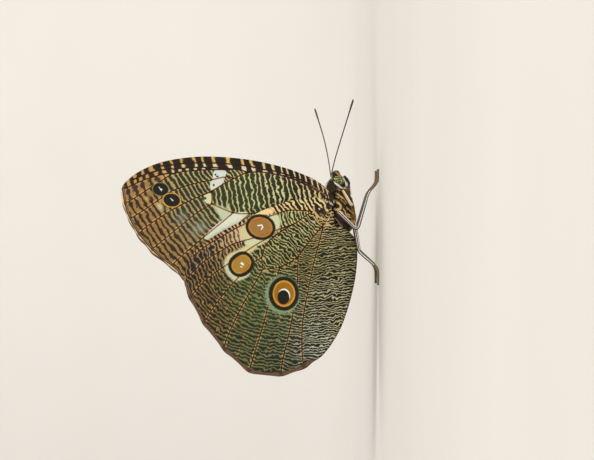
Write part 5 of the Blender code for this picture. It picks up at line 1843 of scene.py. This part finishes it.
def bent(points, radii):
    """A path with its corners rounded, and the radius at each of its points."""
    points = [Vector(p) for p in points]
    path = [points[0]]
    sizes = [radii[0]]
    for k in range(1, len(points) - 1):
        before, here, after = points[k - 1: k + 2]
        cut_in = min(CORNER_CUT, 0.4 * (here - before).length, 0.4 * (after - here).length)
        start = here + (before - here).normalized() * cut_in
        end = here + (after - here).normalized() * cut_in
        path.append((path[-1] + start) / 2)
        sizes.append((sizes[-1] + radii[k]) / 2 * 1.06)
        for t in (0.0, 0.5, 1.0):
            path.append(start * (1 - t) ** 2 + here * 2 * t * (1 - t) + end * t ** 2)
            sizes.append(radii[k])
    path += [(path[-1] + points[-1]) / 2, points[-1]]
    sizes += [(sizes[-1] + radii[-1]) / 2, radii[-1]]
    return np.array([list(p) for p in path]), np.array(sizes)


def fine_path(path, sizes, spacing):
    """The same path in short steps, with the length run along it."""
    run = run_along(path)
    marks = np.linspace(0, run[-1], max(8, round(run[-1] / spacing)))
    fine = resampled(path, run, marks)
    for _ in range(4):
        fine[1:-1] = 0.5 * fine[1:-1] + 0.25 * (fine[:-2] + fine[2:])
    return fine, np.interp(marks, run, sizes), marks


def limb(name, path, radii, outward, kinds, material, node, hand=1.0):
    """A limb as a closed tube that carries its length, the angle around it and its kind."""
    along = unit(np.gradient(path, axis=0))
    out = unit(np.array(outward) - along * (along @ np.array(outward))[:, None])
    across = np.cross(along, out)
    angles = circle(LIMB_SIDES) - math.pi
    rings = path[:, None] + radii[:, None, None] * (
        np.cos(angles)[None, :, None] * out[:, None]
        + np.sin(angles)[None, :, None] * across[:, None])
    verts = rings.reshape(-1, 3)
    verts[:, 2] = np.maximum(verts[:, 2], 0.0)
    mesh = bpy.data.meshes.new(name)
    mesh.from_pydata(in_metres(verts).tolist(), [], tube_faces(len(path), LIMB_SIDES))
    face_outwards(mesh)
    around = np.column_stack([
        np.repeat(run_along(path), LIMB_SIDES), np.tile(np.cos(angles), len(path)),
        np.tile(np.sin(angles) * hand, len(path)),
    ])
    add_field(mesh, "tube", around)
    add_field(mesh, "flat", verts)
    add_field(mesh, "kind", np.repeat(kinds, LIMB_SIDES, axis=0))
    mesh.shade_smooth()
    obj = new_object(name, mesh, material)
    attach(obj, "root")
    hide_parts(node)
    return out, across, along


# Legs: the femur's ground colour, and the bands along femur and tibia as from, to, colour,
# counted across from the front edge -1 to the back 1
WALKING_BANDS = (
    (30, 22, 20), ((-0.92, -0.56, (250, 238, 230)), (-0.04, 0.2, (236, 220, 190)),
                   (0.4, 1.1, (84, 58, 70))),
    ((-0.5, -0.1, (60, 54, 40)), (0.02, 0.5, (240, 236, 226)), (0.5, 1.1, (40, 34, 26))),
)
FOLDED_BANDS = (
    (34, 27, 20), ((-0.86, -0.08, (250, 246, 232)), (0.08, 0.72, (222, 182, 104))),
    ((-1.1, 1.1, (52, 42, 32)),),
)


def leg_shader(name, femur_tone, femur_bands, tibia_bands):
    """Scaled legs with bands along femur and tibia, and brown tarsi."""
    shader = Shader(name, 0.6)
    flat = shader.attribute("flat")
    outer, across = shader.numbers("tube")[1:]
    femur, tibia, tarsus = shader.numbers("kind")
    grain = shader.noise(flat, 16.0, 2.0)
    colour = shader.mix(femur, LEG_OLIVE, tone(*femur_tone))
    colour = shader.mix(tarsus, colour, TARSUS_BROWN)
    wobble = shader.line(shader.sway(flat, 5.0), 0.2, across)
    shown = shader.step(outer, -0.1, 0.1)
    for kind, bands in ((femur, femur_bands), (tibia, tibia_bands)):
        for start, end, band_tone in bands:
            band = shader.times(shader.step(wobble, start - BAND_SOFT, start + BAND_SOFT),
                                shader.step(wobble, end + BAND_SOFT, end - BAND_SOFT))
            band = shader.times(shader.times(band, kind), shown)
            colour = shader.mix(band, colour, tone(*band_tone))
    shade = shader.line(grain, 0.7, 0.62)
    shader.colour(shader.scaled(colour, shade))
    shader.bump(grain, 0.5, LEG_GRAIN)
    return shader.material


def horn_shader(name, dark, light, rings):
    """Antennae and tongue: fine rings along a dark tube."""
    shader = Shader(name, 0.5)
    flat = shader.attribute("flat")
    run = shader.numbers("tube")[0]
    grain = shader.noise(flat, 10.0, 2.0)
    wave = shader.math("SINE", shader.times(run, rings))
    colour = shader.mix(shader.step(wave, 0.5, 0.95), tone(*dark), tone(*light))
    colour = shader.mix(shader.times(grain, 0.5), colour, HORN_DARK)
    shader.colour(colour)
    shader.bump(shader.line(wave, 0.4, grain), 0.4, HORN_GRAIN)
    return shader.material


def leg_hair(coat, frames, path, radii, count, seed, row):
    """Short bristles along a leg."""
    out, across, along = frames
    random = np.random.default_rng(seed)
    picks = random.integers(2, len(path) - 1, count)
    angles = random.uniform(-math.pi, math.pi, count)
    normals = np.cos(angles)[:, None] * out[picks] + np.sin(angles)[:, None] * across[picks]
    roots = path[picks] + normals * radii[picks][:, None]
    keep = roots[:, 2] > HAIR_FLOOR
    roots, normals, picks = roots[keep], normals[keep], picks[keep]
    lengths = random.uniform(0.1, 0.24, len(roots))
    widths = np.full(len(roots), LEG_HAIR_WIDTH)
    uvs = UV_EDGE + np.column_stack([
        (1 - 2 * UV_EDGE) * picks / len(path),
        UV_ROW * (row + angles[keep] / (2 * math.pi) + 0.5),
    ])
    marks = np.tile((NO_LINE, 0.0, 0.0), (len(roots), 1))
    coat.add(roots, normals, along[picks], lengths, widths, HAIR_LIFT, uvs, marks, seed + 1,
             HAIR_BEND)


def walking_leg(name, hip, joints, side, material, coat, row):
    points = [hip] + [(x, side * y, z) for x, y, z in joints]
    path, sizes = bent(points, [FEMUR_RADIUS, TIBIA_RADIUS, TARSUS_RADIUS, TARSUS_RADIUS,
                                TARSUS_RADIUS * TARSUS_TIP])
    inward = np.array([path[0][0], 0.0, path[0][2] + 1.0]) - path[0]
    start = path[0] + inward / np.linalg.norm(inward) * ROOT_SINK
    path, sizes = np.vstack([start, path]), np.concatenate([[sizes[0] * 0.9], sizes])
    path, sizes, run = fine_path(path, sizes, LIMB_STEP)
    lengths = run_along([start, *points])
    knee, ankle, toe = lengths[2], lengths[3], lengths[5]
    swell = 1 + FEMUR_SWELL * np.sin(np.clip(run / knee, 0, 1) * math.pi)
    for joint, (deep, width) in ((knee, KNEE_PINCH), (ankle, ANKLE_PINCH)):
        swell -= deep * bell(run, joint, width)
    part = np.clip((run - ankle) / (toe - ankle), 0, 1) * TARSUS_PARTS
    notched = (part > 0.01) * (part < TARSUS_PARTS - 0.01)
    swell -= TARSUS_NOTCH * (np.cos(2 * math.pi * part) ** 8) * notched
    radii = np.minimum(sizes * swell, sizes * 1.04) * 0.97
    femur = 1 - smoothstep((run - knee) / JOINT_BLEND + 0.5)
    tarsus = smoothstep((run - ankle) / JOINT_BLEND + 0.5)
    kinds = np.column_stack([femur, 1 - femur - tarsus, tarsus])
    frames = limb(name + "_scaled", path, radii, (0, side, 0.25), kinds, material, name,
                  -side)
    leg_hair(coat, frames, path, radii, WALKING_HAIRS, 40 + row, row)


def folded_leg(name, side, material, coat, row):
    points = [(x, side * y, z) for x, y, z in FORELEG_JOINTS]
    path, sizes = bent(points, [FORELEG_RADIUS * 0.8, FORELEG_RADIUS, FORELEG_RADIUS * 0.6])
    path, sizes, run = fine_path(path, sizes, LIMB_STEP)
    elbow = run_along(points)[1]
    femur = 1 - smoothstep((run - elbow) / ELBOW_BLEND + 0.5)
    kinds = np.column_stack([femur, 1 - femur, 0 * femur])
    frames = limb(name + "_scaled", path, sizes * 1.12, (0, side, -0.2), kinds, material,
                  name, -side)
    leg_hair(coat, frames, path, sizes * 1.1, FOLDED_HAIRS, 58 + row, row)


def antenna(name, side, material):
    base = beside(HEAD, 5.1, 158, side, GAP + ANTENNA_RADIUS)
    places = [base] + [(x, side * y, z) for x, y, z in ANTENNA_PATH[side]]
    path = np.vstack([np.multiply(ANTENNA_SOCKET, (1, side, 1)), smooth_curve(places, LIMB_STEP)])
    t = np.concatenate([[0.0], np.linspace(0, 1, len(path) - 1)])
    club = bell(t, CLUB_AT, CLUB_WIDTH)
    radii = (ANTENNA_VISIBLE + 0.03 * t) * (1 - club) + CLUB_VISIBLE * club
    radii *= 1 - 0.08 * np.cos(2 * math.pi * ANTENNA_RINGS * t) ** 6
    radii[:2] *= 0.7
    radii[-len(ANTENNA_TIP):] *= ANTENNA_TIP
    limb(name + "_ringed", path, radii, (0, side, 0.1), np.zeros((len(path), 3)), material,
         name)


def coiled_tongue(material):
    root = beside(HEAD, 3.1, 0, LEFT, GAP)
    points = [(root[0], 0.0, root[2] + ROOT_SINK), root]
    centre_x, centre_z = COIL_CENTRE
    for t in np.linspace(0, 1, COIL_STEPS):
        angle = math.pi - 2 * math.pi * COIL_TURNS * t
        radius = COIL_RADIUS * (1 - COIL_CLOSING * t)
        points.append((centre_x + radius * math.cos(angle), 0, centre_z - radius * math.sin(angle)))
    path = np.array(points, float)
    radii = np.linspace(PROBOSCIS_RADIUS, PROBOSCIS_RADIUS * 0.55, len(path)) * 0.95
    limb("tongue_coiled", path, radii, (0, 1, 0), np.zeros((len(path), 3)), material,
         "proboscis")


def build_limbs(coat_material):
    leg_material = leg_shader("leg_scales", *WALKING_BANDS)
    folded_material = leg_shader("foreleg_scales", *FOLDED_BANDS)
    horns = {
        RIGHT: horn_shader("antenna_near", (104, 92, 82), (150, 138, 124), 22.0),
        LEFT: horn_shader("antenna_far", (26, 10, 7), (44, 22, 16), 22.0),
    }
    tongue = horn_shader("tongue", (92, 58, 34), (130, 92, 60), 40.0)
    coat = Tufts("coat_legs", coat_material)
    row = 0
    for side, word in SIDE_NAMES.items():
        for name, x, degrees, joints in (("midleg_", -2.9, 98, MIDLEG_JOINTS),
                                         ("hindleg_", -5.4, 38, HINDLEG_JOINTS)):
            hip = beside(THORAX, x, degrees, side, GAP + FEMUR_RADIUS)
            walking_leg(name + word, hip, joints, side, leg_material, coat, row)
            row += 1
        folded_leg("foreleg_" + word, side, folded_material, coat, row)
        antenna("antenna_" + word, side, horns[side])
        row += 1
    coat.build("leg")
    coiled_tongue(tongue)


# Stage, light and camera
VIEW_MIDDLE = (-6.64, 17.9)          # the design (x, z) in the middle of the picture
VIEW_WIDTH = 131.4                   # millimetres across the picture
VIEW_DISTANCE = 620.0
SENSOR_WIDTH = 36.0
STAGE_HALF, STAGE_BEND, STAGE_CURVE, STAGE_ARCS = 3.0, 0.35, 0.4, 12      # metres, and steps


def aim(obj, place_m, target_m, up):
    """Put a camera or light at a place, looking at a target."""
    back = (Vector(place_m) - Vector(target_m)).normalized()
    right = up.cross(back).normalized()
    top = back.cross(right)
    obj.matrix_world = Matrix((
        (right.x, top.x, back.x, place_m[0]),
        (right.y, top.y, back.y, place_m[1]),
        (right.z, top.z, back.z, place_m[2]),
        (0, 0, 0, 1),
    ))


def add_camera():
    data = bpy.data.cameras.new("camera")
    data.sensor_width = SENSOR_WIDTH
    data.lens = SENSOR_WIDTH * VIEW_DISTANCE / VIEW_WIDTH
    data.clip_start, data.clip_end = 0.02, 20.0
    camera = new_object("camera", data)
    x, z = VIEW_MIDDLE
    target = (Vector((x, 0, z)) + SHIFT) * MM
    aim(camera, target - Vector((0, VIEW_DISTANCE * MM, 0)), target, up=Vector((1, 0, 0)))
    bpy.context.scene.camera = camera


def add_lamp(name, place_m, size, power, colour=(1, 1, 1)):
    data = bpy.data.lights.new(name, "AREA")
    data.size = size
    data.energy = power
    data.color = colour
    aim(new_object(name, data), Vector(place_m), Vector((0, 0, 0.02)), up=Vector((0.01, 0.02, 1)))


def add_stage():
    """A pale floor that curves up into a wall behind."""
    shader = Shader("stage_paper", 0.9)
    place_in = shader.node("ShaderNodeTexCoord").outputs["Object"]
    mottle = shader.noise(place_in, 9.0, 3.0)
    shader.colour(shader.mix(mottle, PAPER_DARK, PAPER_LIGHT))
    shader.finish({"Specular IOR Level": 0.05})
    profile = [(-STAGE_HALF, 0.0)]
    for angle in np.linspace(0, math.pi / 2, STAGE_ARCS + 1):
        profile.append((STAGE_BEND + STAGE_CURVE * math.sin(angle),
                        STAGE_CURVE * (1 - math.cos(angle))))
    profile.append((STAGE_BEND + STAGE_CURVE, STAGE_HALF))
    bm = bmesh.new()
    rows = [[bm.verts.new((x, y, z)) for x in (-STAGE_HALF, STAGE_HALF)] for y, z in profile]
    for one, two in zip(rows, rows[1:]):
        bm.faces.new((one[0], one[1], two[1], two[0]))
    mesh = bpy.data.meshes.new("stage")
    bm.to_mesh(mesh)
    bm.free()
    mesh.shade_smooth()
    obj = new_object("stage", mesh, shader.material)


def add_light():
    world = bpy.data.worlds.new("studio")
    bpy.context.scene.world = world
    world.use_nodes = True
    back = world.node_tree.nodes["Background"]
    back.inputs["Color"].default_value = (1.0, 0.98, 0.95, 1.0)
    back.inputs["Strength"].default_value = 0.36
    add_lamp("key", (0.45, -0.6, 0.55), 0.5, 5.4, (1.0, 0.97, 0.92))
    add_lamp("fill", (-0.5, -0.5, 0.3), 0.6, 1.8, (0.94, 0.97, 1.0))
    add_lamp("far_side", (0.1, 0.55, 0.6), 0.5, 3.0)
    bpy.context.scene.view_settings.view_transform = "Standard"


skin_material = coat_shader("body_scales", False)
tuft_material = coat_shader("body_tufts", True)
build_wings()
build_coats(build_skin(skin_material), tuft_material)
build_eyes()
build_limbs(tuft_material)
add_stage()
add_light()
add_camera()
